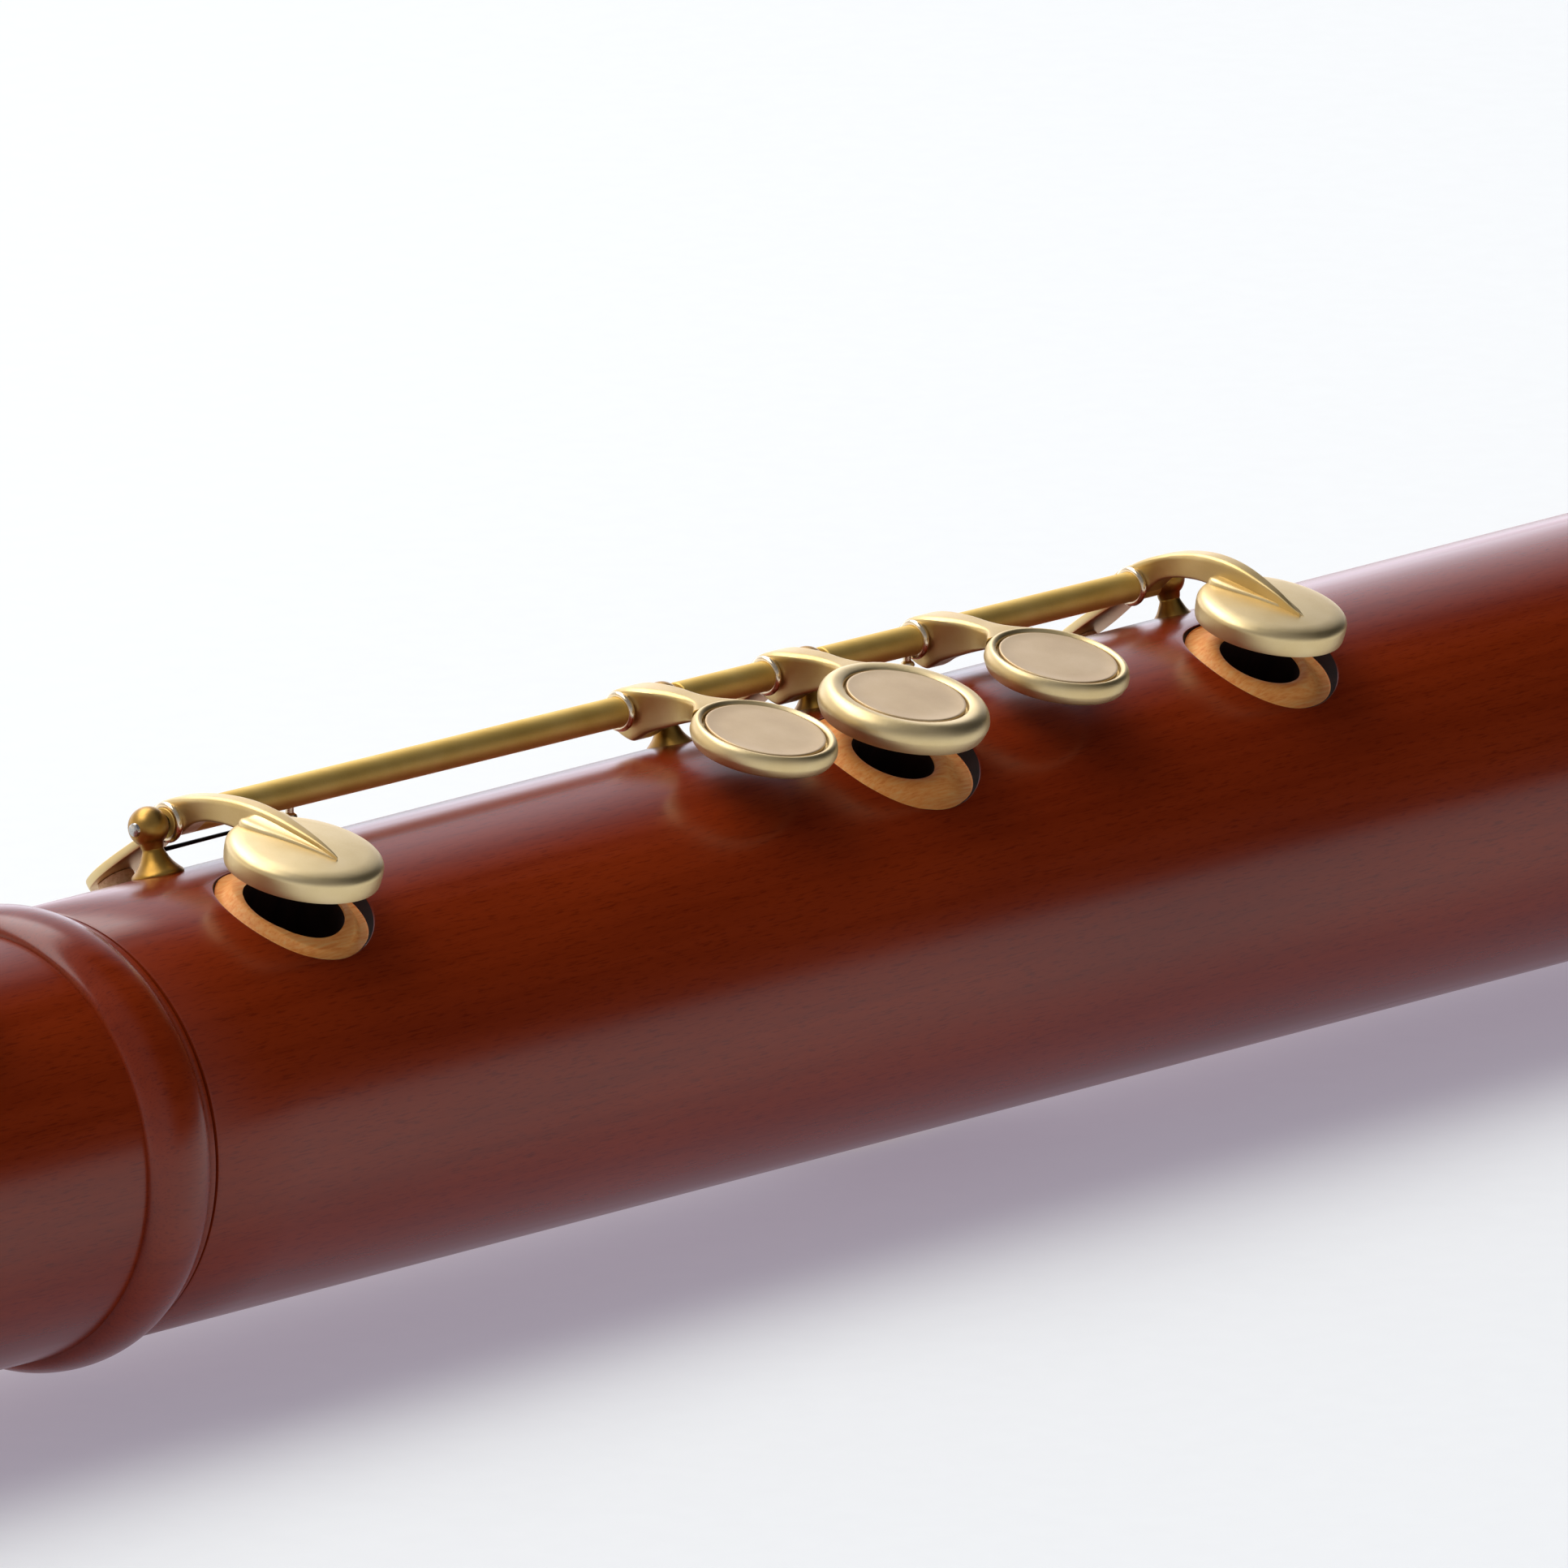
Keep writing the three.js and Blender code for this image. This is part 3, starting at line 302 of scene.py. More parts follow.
def smooth(mesh, sharp=SHARP_EDGE):
    mesh.polygons.foreach_set("use_smooth", [True] * len(mesh.polygons))
    mesh.update()
    mesh.set_sharp_from_angle(angle=sharp)


def linked(name, data):
    """A new object in the scene."""
    made = bpy.data.objects.new(name, data)
    bpy.context.scene.collection.objects.link(made)
    return made


def settled(name, holder, helpers=(), sharp=SHARP_EDGE):
    """What a holder's modifiers make of it, as a plain piece. The holder and its helpers are removed."""
    bpy.context.view_layer.update()
    graph = bpy.context.evaluated_depsgraph_get()
    made = bpy.data.meshes.new_from_object(holder.evaluated_get(graph))
    for item in (holder, *helpers):
        bpy.data.objects.remove(item)
    smooth(made, sharp)
    return linked(name, made)


def carved(name, whole, cutters):
    """A piece with the cutters taken out of it."""
    for cutter in cutters:
        modifier = whole.modifiers.new("cut", "BOOLEAN")
        modifier.operation = "DIFFERENCE"
        modifier.solver = "EXACT"
        modifier.object = cutter
    return settled(name, whole, cutters)


def finish_piece(piece, body, nodes):
    """Hands a piece over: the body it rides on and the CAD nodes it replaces."""
    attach(piece, body)
    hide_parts(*nodes)
    return piece


def body_of(node):
    """The body that carries a CAD node."""
    return frame["nodes"][node]["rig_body"]


def full_turn(count):
    """Even angles round a whole turn."""
    return np.arange(count) / count * 2 * math.pi


def smooth_through(table, count):
    """A smooth curve through the rows of a table, sampled evenly between them."""
    rows = np.asarray(table, float)
    padded = np.vstack([2 * rows[0] - rows[1], rows, 2 * rows[-1] - rows[-2]])
    out = []
    for step in np.linspace(0, len(rows) - 1, count):
        i = min(int(step), len(rows) - 2)
        t = step - i
        a, b, c, d = padded[i:i + 4]
        out.append(0.5 * (2 * b + (c - a) * t + (2 * a - 5 * b + 4 * c - d) * t * t
                          + (3 * b - a - 3 * c + d) * t ** 3))
    return np.array(out)


def skin(rings):
    """Points and faces of a closed body over equal rings of points, with a fan over each end."""
    rings = [np.asarray(ring, float) for ring in rings]
    count = len(rings[0])
    first = count * len(rings)
    last = first + 1
    end = first - count
    points = np.vstack([*rings, rings[0].mean(0), rings[-1].mean(0)])
    faces = []
    for i in range(len(rings) - 1):
        a, b = i * count, (i + 1) * count
        for k in range(count):
            n = (k + 1) % count
            faces.append((a + k, a + n, b + n, b + k))
    for k in range(count):
        n = (k + 1) % count
        faces.append((first, n, k))
        faces.append((last, end + k, end + n))
    return points, faces


def outward(points, faces):
    """The same faces, turned to point out of the closed shape."""
    points = np.asarray(points)
    volume = 0.0
    for face in faces:
        a = points[face[0]]
        for i in range(1, len(face) - 1):
            volume += a.dot(np.cross(points[face[i]], points[face[i + 1]]))
    return faces if volume > 0 else [tuple(reversed(face)) for face in faces]


def revolved(loop, sides, place):
    """A body turned about its own axis from a loop of (radius, height), put in the body frame by place."""
    turns = full_turn(sides)
    points, ids = [], []
    for radius, height in loop:
        if radius <= 0:
            ids.append([len(points)] * sides)
            points.append((0.0, 0.0, height))
        else:
            ids.append(list(range(len(points), len(points) + sides)))
            points.extend((radius * math.cos(t), radius * math.sin(t), height) for t in turns)
    pairs = list(zip(ids, ids[1:]))
    if loop[0][0] > 0:
        pairs.append((ids[-1], ids[0]))
    faces = []
    for low_ring, high_ring in pairs:
        for k in range(sides):
            n = (k + 1) % sides
            face = [low_ring[k], low_ring[n], high_ring[n], high_ring[k]]
            face = [p for i, p in enumerate(face) if p not in face[:i]]
            if len(face) > 2:
                faces.append(tuple(face))
    placed = place(np.array(points))
    return placed, outward(placed, faces)


def along_x(hinge):
    """Puts a body turned about its own axis on a line along the bore, with its height along X."""
    return lambda points: np.stack([
        points[:, 2], hinge[1] + points[:, 0], hinge[2] + points[:, 1]], 1)


def turned_on_bore(profile, sides):
    """A body turned about the bore from a closed loop of (x, radius)."""
    shape = Shape()
    shape.add_turned([(radius, x) for x, radius in profile], sides, along_x((0.0, 0.0, 0.0)))
    return shape


def slab(outline, half_width, turn=0.0):
    """A prism from an outline of (x, height over the bore's axis) points, as wide to either side of it."""
    out, across = directions(turn)
    rings = [[X_AXIS * x + across * s + out * height for x, height in outline]
             for s in (-half_width, half_width)]
    points = np.vstack(rings)
    count = len(outline)
    faces = [(k, (k + 1) % count, count + (k + 1) % count, count + k) for k in range(count)]
    faces += [tuple(range(count - 1, -1, -1)), tuple(range(count, 2 * count))]
    shape = Shape()
    shape.add(points, outward(points, faces))
    return shape


def bead(start, end, radius_start, radius_end, rise, steps=BEAD_STEPS):
    """Half a ring turned on the body, as (x, radius) points."""
    out = []
    for i in range(steps + 1):
        share = i / steps
        base = radius_start + (radius_end - radius_start) * share
        out.append((start + (end - start) * (1 - math.cos(math.pi * share)) / 2,
                    base + rise * math.sin(math.pi * share)))
    return out


# Turned wood with tone holes

WOOD, RAW, BORE = range(3)
STATION_STEP = 1.2
FIELD_STATIONS = 9
FIELD_HALF_WIDTH = 11.2
RIM_ROUND = 0.22
GROOVE_WIDTH = 0.6
GROOVE_WALL = 1.5
SEAT_SINK = 0.18


def radius_on(profile, x):
    return float(np.interp(x, [place for place, _ in profile], [radius for _, radius in profile]))


def with_stations(profile, holes):
    """A profile with close stations added round each hole."""
    places = []
    for (xa, ra), (xb, rb) in zip(profile, profile[1:]):
        places.append((xa, ra))
        if xb - xa < 1e-9:
            continue
        marks = set()
        for hole in holes:
            for i in range(-FIELD_STATIONS - 1, FIELD_STATIONS + 2):
                mark = hole.x + i * STATION_STEP
                if xa + 1e-6 < mark < xb - 1e-6:
                    marks.add(round(mark, 6))
        places.extend((mark, ra + (rb - ra) * (mark - xa) / (xb - xa)) for mark in sorted(marks))
    places.append(profile[-1])
    return places


def seat_profile(hole):
    """The flat seat under a cup as (radius, height, least depth under the wood, finish): a dark wall,
    a flat floor, a soft rise to the crest and a rounded edge into the hole."""
    rim = hole.seat
    floor = hole.crest - hole.dish
    start, top = rim - 0.7, hole.radius + SEAT_RIDGE
    # The seat's wall takes the near-black finish of the bore.
    rows = [(rim - 0.02, floor + 0.1, 0.15, BORE), (rim - 0.12, floor, SEAT_SINK, RAW)]
    for t in np.linspace(0, 1, 9):
        rows.append((start + (top - start) * t, floor + hole.dish * t * t * (3 - 2 * t), SEAT_SINK, RAW))
    for outside, under in ((0.2, 0.03), (0.06, 0.12), (0.0, 0.3)):
        rows.append((hole.radius + outside, hole.crest - under, SEAT_SINK, RAW))
    return rows


class PiercedTube(Shape):
    """A turned tube with tone holes. Its walls are lists of (x, radius) from low to high X."""

    def __init__(self, outer, inner, holes, sides):
        super().__init__()
        self.sides = sides
        outer, inner = with_stations(outer, holes), with_stations(inner, holes)
        outer_ids, inner_ids = self.add_wall(outer), self.add_wall(inner)
        outer_fields = [self.field(outer, hole) for hole in holes]
        inner_fields = [self.field(inner, hole) for hole in holes]
        self.add_cells(outer_ids, outer_fields, WOOD, False)
        self.add_cells(inner_ids, inner_fields, BORE, True)
        self.bridge(inner_ids[0], outer_ids[0], WOOD, False)
        self.bridge(inner_ids[-1], outer_ids[-1], WOOD, True)
        for hole, outer_field, inner_field in zip(holes, outer_fields, inner_fields):
            top = self.border(outer, outer_ids, outer_field)
            bottom = self.border(inner, inner_ids, inner_field)
            self.add_hole(hole, outer, inner, top, bottom)

    def add_wall(self, profile):
        """Rings of points on a turned surface. Gives their numbers, ring by ring."""
        start = len(self.points)
        for x, radius in profile:
            for turn in full_turn(self.sides):
                self.points.append(X_AXIS * x + radius * directions(turn)[0])
        return [[start + i * self.sides + k for k in range(self.sides)] for i in range(len(profile))]

    def field(self, profile, hole):
        """The first and last station and side of the field that is left open round a hole."""
        reach = FIELD_STATIONS * STATION_STEP + 1e-4
        places = [i for i, (x, _) in enumerate(profile) if abs(x - hole.x) <= reach]
        side = 2 * math.pi / self.sides
        half = int(math.ceil(math.asin(FIELD_HALF_WIDTH / BODY_RADIUS) / side))
        middle = int(round(hole.turn / side))
        return places[0], places[-1], middle - half, middle + half

    def add_cells(self, ids, fields, finish, flip):
        """The faces of a wall, apart from the fields round its holes."""
        for i in range(len(ids) - 1):
            for k in range(self.sides):
                if any(a <= i < b and (k - first) % self.sides < last - first
                       for a, b, first, last in fields):
                    continue
                n = (k + 1) % self.sides
                self.add_face([ids[i][k], ids[i + 1][k], ids[i + 1][n], ids[i][n]], finish, flip)

    def add_face(self, face, finish, flip):
        self.faces.append(face[::-1] if flip else face)
        self.finishes.append(finish)

    def border(self, profile, ids, field):
        """The field's border in order: the numbers of its points, and their (x, turn)."""
        a, b, first, last = field
        cells = [(i, first) for i in range(a, b)] + [(b, k) for k in range(first, last)]
        cells += [(i, last) for i in range(b, a, -1)] + [(a, k) for k in range(last, first, -1)]
        numbers = [ids[i][k % self.sides] for i, k in cells]
        return numbers, [(profile[i][0], k / self.sides * 2 * math.pi) for i, k in cells]

    def bridge(self, ring_a, ring_b, finish, flip=True):
        count = len(ring_a)
        for k in range(count):
            n = (k + 1) % count
            self.add_face([ring_a[k], ring_b[k], ring_b[n], ring_a[n]], finish, flip)

    def next_ring(self, previous, points, finish):
        """Adds a ring of points and joins it to the one before."""
        start = len(self.points)
        self.points.extend(points)
        ring = list(range(start, start + len(points)))
        self.bridge(previous, ring, finish)
        return ring

    def add_hole(self, hole, outer, inner, top, bottom):
        """Joins the fields of both walls by rings round the hole, through the seat if it has one."""
        out, across = directions(hole.turn)
        previous, top_places = top
        bottom_ids, bottom_places = bottom
        bearings = [math.atan2(math.sin(turn - hole.turn) * BODY_RADIUS, x - hole.x)
                    for x, turn in top_places]

        def round_hole(profile, radius, sink=0.0, level=math.inf, wider=np.zeros(len(bearings))):
            """A ring round the hole's axis, sunk under a turned surface and no higher than a level."""
            ring = []
            for bearing, reach in zip(bearings, radius + wider):
                dx, s = reach * math.cos(bearing), reach * math.sin(bearing)
                surface = radius_on(profile, hole.x + dx)
                height = min(level, math.sqrt(surface * surface - s * s) - sink)
                ring.append(X_AXIS * (hole.x + dx) + across * s + out * height)
            return ring

        def towards(profile, ring, places, share):
            """A ring on a turned surface, between a ring round the hole and the field's border."""
            blended = []
            for point, (x, turn) in zip(ring, places):
                from_turn = math.atan2(point.dot(across), point.dot(out))
                place = point[0] + (x - point[0]) * share
                angle = from_turn + (turn - hole.turn - from_turn) * share
                surface = radius_on(profile, place)
                blended.append(X_AXIS * place + surface * (out * math.cos(angle) + across * math.sin(angle)))
            return blended

        rim = hole.seat or hole.radius
        groove = np.zeros(len(bearings))
        if hole.seat:
            # The groove round the seat is widest where the wood stands high over the seat's floor.
            floor = hole.crest - hole.dish
            walls = [max(0.0, point.dot(out) - floor) for point in round_hole(outer, rim)]
            groove = np.array([GROOVE_WIDTH * min(1.0, wall / GROOVE_WALL) for wall in walls])
        edge = round_hole(outer, rim + RIM_ROUND, wider=groove)
        steps = 6
        for i in reversed(range(1, steps)):
            previous = self.next_ring(previous, towards(outer, edge, top_places, (i / steps) ** 1.2), WOOD)
        for outside, sink in ((RIM_ROUND, 0.0), (0.07, 0.03), (0.0, 0.12)):
            previous = self.next_ring(previous, round_hole(outer, rim + outside, sink, wider=groove), WOOD)
        if hole.seat:
            for radius, level, sink, finish in seat_profile(hole):
                previous = self.next_ring(previous, round_hole(outer, radius, sink, level), finish)
        edge = round_hole(inner, hole.radius)
        previous = self.next_ring(previous, edge, BORE)
        steps = 3
        for i in range(1, steps):
            previous = self.next_ring(previous, towards(inner, edge, bottom_places, i / steps), BORE)
        self.bridge(previous, bottom_ids, BORE)


# Materials

def linear(code):
    """An sRGB hex colour as linear red, green, blue and full alpha."""
    values = [int(code[i:i + 2], 16) / 255 for i in (1, 3, 5)]
    return [v / 12.92 if v <= 0.04045 else ((v + 0.055) / 1.055) ** 2.4 for v in values] + [1.0]


def dimmed(color, share):
    return [channel * share for channel in color[:3]] + [1.0]


def add_node(tree, kind, inputs=None, **settings):
    """One node with its inputs, which are values or other nodes' sockets, and its settings."""
    node = tree.nodes.new(kind)
    for name, value in settings.items():
        setattr(node, name, value)
    for name, value in (inputs or {}).items():
        if isinstance(value, bpy.types.NodeSocket):
            tree.links.new(value, node.inputs[name])
        else:
            node.inputs[name].default_value = value
    return node


def ramp(tree, factor, stops):
    node = add_node(tree, "ShaderNodeValToRGB", {"Fac": factor})
    elements = node.color_ramp.elements
    while len(elements) < len(stops):
        elements.new(0.5)
    for element, (place, color) in zip(elements, stops):
        element.position = place
        element.color = linear(color) if isinstance(color, str) else color
    return node.outputs["Color"]


def stretched(tree, along_mm, across_mm):
    """Object coordinates scaled so that one unit is a length along the body and a width across it."""
    place = add_node(tree, "ShaderNodeTexCoord")
    mapping = add_node(tree, "ShaderNodeMapping", {
        "Vector": place.outputs["Object"],
        "Scale": (1 / (along_mm * MM), 1 / (across_mm * MM), 1 / (across_mm * MM)),
    })
    return mapping.outputs["Vector"]


def figure(tree, along_mm, across_mm, detail=2.0, rough=0.5):
    """Soft noise whose patches have a length along the body and a width across it."""
    noise = add_node(tree, "ShaderNodeTexNoise", {
        "Vector": stretched(tree, along_mm, across_mm), "Scale": 1.0, "Detail": detail, "Roughness": rough})
    return noise.outputs["Fac"]


def mixed(tree, factor, first, second, blend="MIX"):
    """Two colours mixed. Inputs 6 and 7 and output 2 of the mixing node are its colours."""
    colors = {"Factor": factor, 6: first, 7: second}
    return add_node(tree, "ShaderNodeMix", colors, data_type="RGBA", blend_type=blend).outputs[2]


def sheen(tree, factor, low, high):
    """Roughness that follows a figure."""
    node = add_node(tree, "ShaderNodeMapRange", {
        "Value": factor, "From Min": 0.3, "From Max": 0.7, "To Min": low, "To Max": high})
    return node.outputs["Result"]


def bump(tree, height, strength, depth_mm):
    node = add_node(tree, "ShaderNodeBump", {
        "Strength": strength, "Distance": depth_mm * MM, "Height": height})
    return node.outputs["Normal"]


def finish_material(name, make):
    """A material whose shader inputs come from a function that fills its node tree."""
    material = bpy.data.materials.new(name)
    material.use_nodes = True
    tree = material.node_tree
    tree.nodes.clear()
    shader = add_node(tree, "ShaderNodeBsdfPrincipled", make(tree))
    end = add_node(tree, "ShaderNodeOutputMaterial", {"Surface": shader.outputs["BSDF"]})
    end.is_active_output = True
    return material


def stained_maple(tree):
    # Maple, stained deep red-brown under thin satin lacquer: close fine pores, faint long streaks,
    # slow cloudy depth in the stain and an even soft sheen.
    clouds = figure(tree, 70, 16, 3.0, 0.55)
    streaks = figure(tree, 60, 1.3)
    pores = figure(tree, 1.8, 0.16)
    stain = ramp(tree, clouds, [(0.3, "#742308"), (0.5, "#7c2708"), (0.7, "#842b09")])
    streak_tone = ramp(tree, streaks, [(0.25, "#d6c6bf"), (0.55, "#ffffff")])
    pore_tone = ramp(tree, pores, [(0.3, "#b9a8a0"), (0.46, "#ffffff")])
    streaked = mixed(tree, 0.45, stain, streak_tone, "MULTIPLY")
    return {
        "Base Color": mixed(tree, 0.6, streaked, pore_tone, "MULTIPLY"),
        "Roughness": sheen(tree, streaks, 0.21, 0.26),
        "Normal": bump(tree, pores, 0.1, 0.02),
        "IOR": 1.42,
    }


def raw_maple(tree):
    # Maple, cut flat and left unstained round each hole: tan, matt, with short fine dashes of grain.
    # The tan is painted lighter than bare maple, to make up for the shade of the cups over it.
    dashes = figure(tree, 2.4, 0.3, 3.0, 0.6)
    clouds = figure(tree, 9, 4)
    tone = ramp(tree, dashes, [(0.3, "#f29240"), (0.5, "#ffad58"), (0.7, "#ffc275")])
    cloud_tone = ramp(tree, clouds, [(0.3, "#f0e6dc"), (0.7, "#ffffff")])
    return {
        "Base Color": mixed(tree, 0.7, tone, cloud_tone, "MULTIPLY"),
        "Normal": bump(tree, dashes, 0.3, 0.04),
        "Roughness": 0.62,
    }


def oiled_bore(tree):
    # Maple bore, oiled and darkened: near black brown with faint reamer lines round it.
    lines = figure(tree, 0.8, 12)
    return {
        "Base Color": ramp(tree, lines, [(0.3, "#160904"), (0.7, "#2a120a")]),
        "Roughness": 0.75,
        "Specular IOR Level": 0.2,
    }


def raw_cedar(tree):
    # Cedar, planed and left raw: pinkish tan with straight soft grain.
    grain = figure(tree, 40, 0.8, 3.0)
    return {
        "Base Color": ramp(tree, grain, [(0.3, "#9c5a33"), (0.5, "#b87248"), (0.7, "#c98659")]),
        "Normal": bump(tree, grain, 0.3, 0.05),
        "Roughness": 0.7,
    }


def blasted_gold(dark, middle, light, rough, grit_mm=0.16):
    """Brass, blasted with fine beads and gold plated, then lacquered."""
    def make(tree):
        grit = figure(tree, grit_mm, grit_mm, 2.0, 0.6)
        clouds = figure(tree, 5, 5, 3.0)
        return {
            "Base Color": ramp(tree, clouds, [(0.3, dark), (0.5, middle), (0.72, light)]),
            "Metallic": 1.0,
            "Roughness": sheen(tree, grit, rough - 0.05, rough + 0.06),
            "Normal": bump(tree, grit, 0.16, 0.01),
        }
    return make


def plain_metal(code, rough, streak_mm):
    """Drawn or polished metal with faint streaks along the body."""
    def make(tree):
        streaks = figure(tree, streak_mm * 20, streak_mm)
        shade = linear(code)
        return {
            "Base Color": ramp(tree, streaks, [(0.3, dimmed(shade, 0.8)), (0.7, shade)]),
            "Metallic": 1.0,
            "Roughness": sheen(tree, streaks, rough * 0.8, rough * 1.2),
        }
    return make


def granular(dark, middle, light, grain_mm, rough):
    """Cork or leather: small grains of several tones."""
    def make(tree):
        grains = add_node(tree, "ShaderNodeTexVoronoi", {
            "Vector": stretched(tree, grain_mm * 1.6, grain_mm), "Scale": 1.0})
        fine = figure(tree, grain_mm / 2, grain_mm / 2)
        return {
            "Base Color": ramp(tree, fine, [(0.3, dark), (0.5, middle), (0.7, light)]),
            "Normal": bump(tree, grains.outputs["Distance"], 0.4, 0.06),
            "Roughness": rough,
        }
    return make


FINISHES = {}


def make_finishes():
    for finish, name, make in (
            ("wood", "stained_maple_satin_lacquer", stained_maple),
            ("raw", "raw_maple_cut", raw_maple),
            ("bore", "oiled_maple_bore", oiled_bore),
            ("cedar", "raw_cedar_block", raw_cedar),
            # Keys: brass castings, blasted and gold plated
            ("gold", "brass_blasted_gold_plated", blasted_gold("#c9ae74", "#d0b680", "#d7be8c", 0.42)),
            # Hinge tubes: drawn brass, plated and dulled
            ("tube", "brass_tube_dull_gold_plated", blasted_gold("#d9b763", "#e0bf6c", "#e6c777", 0.6)),
            # Posts: turned brass, plated, in a darker gold that is painted shade
            ("post", "brass_post_gold_plated_painted_shade", blasted_gold("#96702f", "#a07a38", "#aa8545", 0.38)),
            # Cups and touch rims: the same plated brass as the keys, painted in a paler gold as a highlight
            ("rim", "brass_rim_paler_painted_highlight", blasted_gold("#d8c08c", "#dec896", "#e4cfa1", 0.42)),
            # Discs in the touches: the key brass, finely blasted, painted in a paler gold that stands for the
            # reflection of the bright wall
            ("inlay", "brass_inlay_paler_painted_reflection",
             blasted_gold("#c8ae88", "#cfb68f", "#d6be99", 0.42, 0.1)),
            # Silver solder, left bright where it ran
            ("solder", "silver_solder", plain_metal("#efdcbc", 0.22, 0.1)),
            # Rods and screws: turned steel, polished
            ("steel", "steel_turned", plain_metal("#b9b7b4", 0.25, 0.05)),
            # Needle springs: drawn steel, blued by heat
            ("blued", "spring_steel_blued", plain_metal("#1b1c22", 0.3, 0.05)),
            # Cork lapping, sanded
            ("cork", "natural_cork", granular("#8e6238", "#b5854f", "#cb9c66", 0.9, 0.85)),
            # Stop corks: fine pale cork, cut clean, painted lighter still to make up for the shade under the
            # back stop
            ("stop_cork", "stop_cork_lightened_painted_light", granular("#cfae80", "#e0c296", "#ecd2aa", 0.6, 0.8)),
            # Pads: tanned leather, matt
            ("pad", "pad_leather_tan", granular("#6a3a20", "#8a5230", "#9c633c", 0.35, 0.6))):
        FINISHES[finish] = finish_material(name, make)


# Keywork

GOLD, SOLDER, RIM, TUBE = range(4)
PAD_CELL = [(0, 1.1), (6.7, 1.1), (6.85, 1.0), (6.85, 0.05), (7.0, 0.0)]
TURNED_SIDES = 96
ROD_RADIUS = 0.75


def cup_place(x, station, lift=0.0):
    """Puts local (along the bore, towards the hinge, height) points on the open cup's underside."""
    hinge = station.hinge()
    closed = HOLE_AXIS * (CUP_HEIGHT + station.rise + lift) - hinge
    c, s = math.cos(-OPEN_ANGLE), math.sin(-OPEN_ANGLE)
    origin = hinge + np.array([0, closed[1] * c - closed[2] * s, closed[1] * s + closed[2] * c])
    origin[0] = x
    axes = np.array([
        [1, 0, 0],
        [0, math.cos(CUP_TILT), math.sin(CUP_TILT)],
        [0, -math.sin(CUP_TILT), math.cos(CUP_TILT)],
    ])
    return lambda points: origin + np.asarray(points) @ axes


def dome_height(radius):
    return CUP_THICKNESS + CUP_DOME * (1 - (radius / CUP_RADIUS) ** 2)


def cup_profile():
    """A shallow cup over its pad, with a round shoulder and a slightly domed top."""
    shoulder = 1.68
    loop = PAD_CELL + [(7.5, 0.0), (7.64, 0.07), (7.71, 0.3), (7.77, 0.8)]
    loop += [(CUP_RADIUS, 1.3), (CUP_RADIUS, shoulder)]
    for t in np.linspace(0.1, 1.3, 10):
        loop.append((CUP_RADIUS - 1.15 * (1 - math.cos(t)), shoulder + 0.98 * math.sin(t)))
    loop += [(r, dome_height(r)) for r in np.linspace(6.6, 0, 10)]
    return loop


def raised(loop, low):
    return [(radius, height + low) for radius, height in loop]


def rim_profile(radius, thickness, inside):
    """A raised round rim about the cell of the inlay, as (radius, height) above the cup plane."""
    cell = INLAY_RADIUS + 0.26
    crest = cell + (radius - cell) * 0.42
    wide = thickness * 0.46
    loop = inside + [(radius - 1.1, 0.0), (radius - 0.75, 0.0), (radius - 0.5, 0.1)]
    loop += [(radius - under, share * wide) for under, share in ((0.32, 0.3), (0.12, 0.65), (0.02, 0.9))]
    for t in np.linspace(0, math.pi / 2, 10):
        loop.append((crest + (radius - crest) * math.cos(t), wide + (thickness - wide) * math.sin(t)))
    for t in np.linspace(0.25, 1, 5):
        loop.append((crest + (cell + 0.12 - crest) * t, thickness - 0.16 * t * t))
    loop += [(cell + 0.03, thickness - 0.24), (cell, thickness - 0.32)]
    return loop + [(cell, thickness - 0.86), (0, thickness - 0.86)]


def inlay_profile(thickness):
    """A disc sunk just under the rim, with an eased edge."""
    top = thickness - 0.14
    r = INLAY_RADIUS
    edge = [(r - 0.1, -0.5), (r, -0.42), (r, -0.1), (r - 0.05, -0.02), (r - 0.14, 0.01), (r - 0.3, -0.01)]
    return raised([(0, -0.5), *edge, (r * 0.7, 0.0), (r * 0.35, 0.01), (0, 0.01)], top)


# Rows of an arm: top y, z, bottom y, z from the hinge line, width, top rounding, bottom rounding
TOUCH_ARM = [
    (2.7, 0.0, 2.6, -0.4, 1.6, 0.15, 0.15),
    (2.4, 0.85, 2.45, -0.9, 2.2, 0.4, 0.3),
    (1.7, 1.6, 1.95, -1.6, ARM_WIDTH, 0.5, 0.3),
    (0.8, 2.1, 1.3, -2.5, ARM_WIDTH, 0.5, 0.3),
    (-0.4, 2.42, -0.4, -3.12, ARM_WIDTH, 0.5, 0.3),
    (-1.3, 2.54, -1.3, -2.85, ARM_WIDTH, 0.5, 0.3),
    (-2.6, 2.6, -2.6, -2.05, ARM_WIDTH, 0.5, 0.3),
    (-4.8, 2.54, -4.8, -1.2, ARM_WIDTH, 0.5, 0.3),
    (-7.0, 2.3, -6.9, -0.5, 2.6, 0.5, 0.35),
    (-8.6, 2.15, -8.3, -0.05, 3.3, 0.45, 0.35),
    (-9.7, 2.0, -9.5, 0.4, 5.0, 0.4, 0.35),
    (-10.6, 1.85, -10.5, 0.7, 7.2, 0.35, 0.35),
]
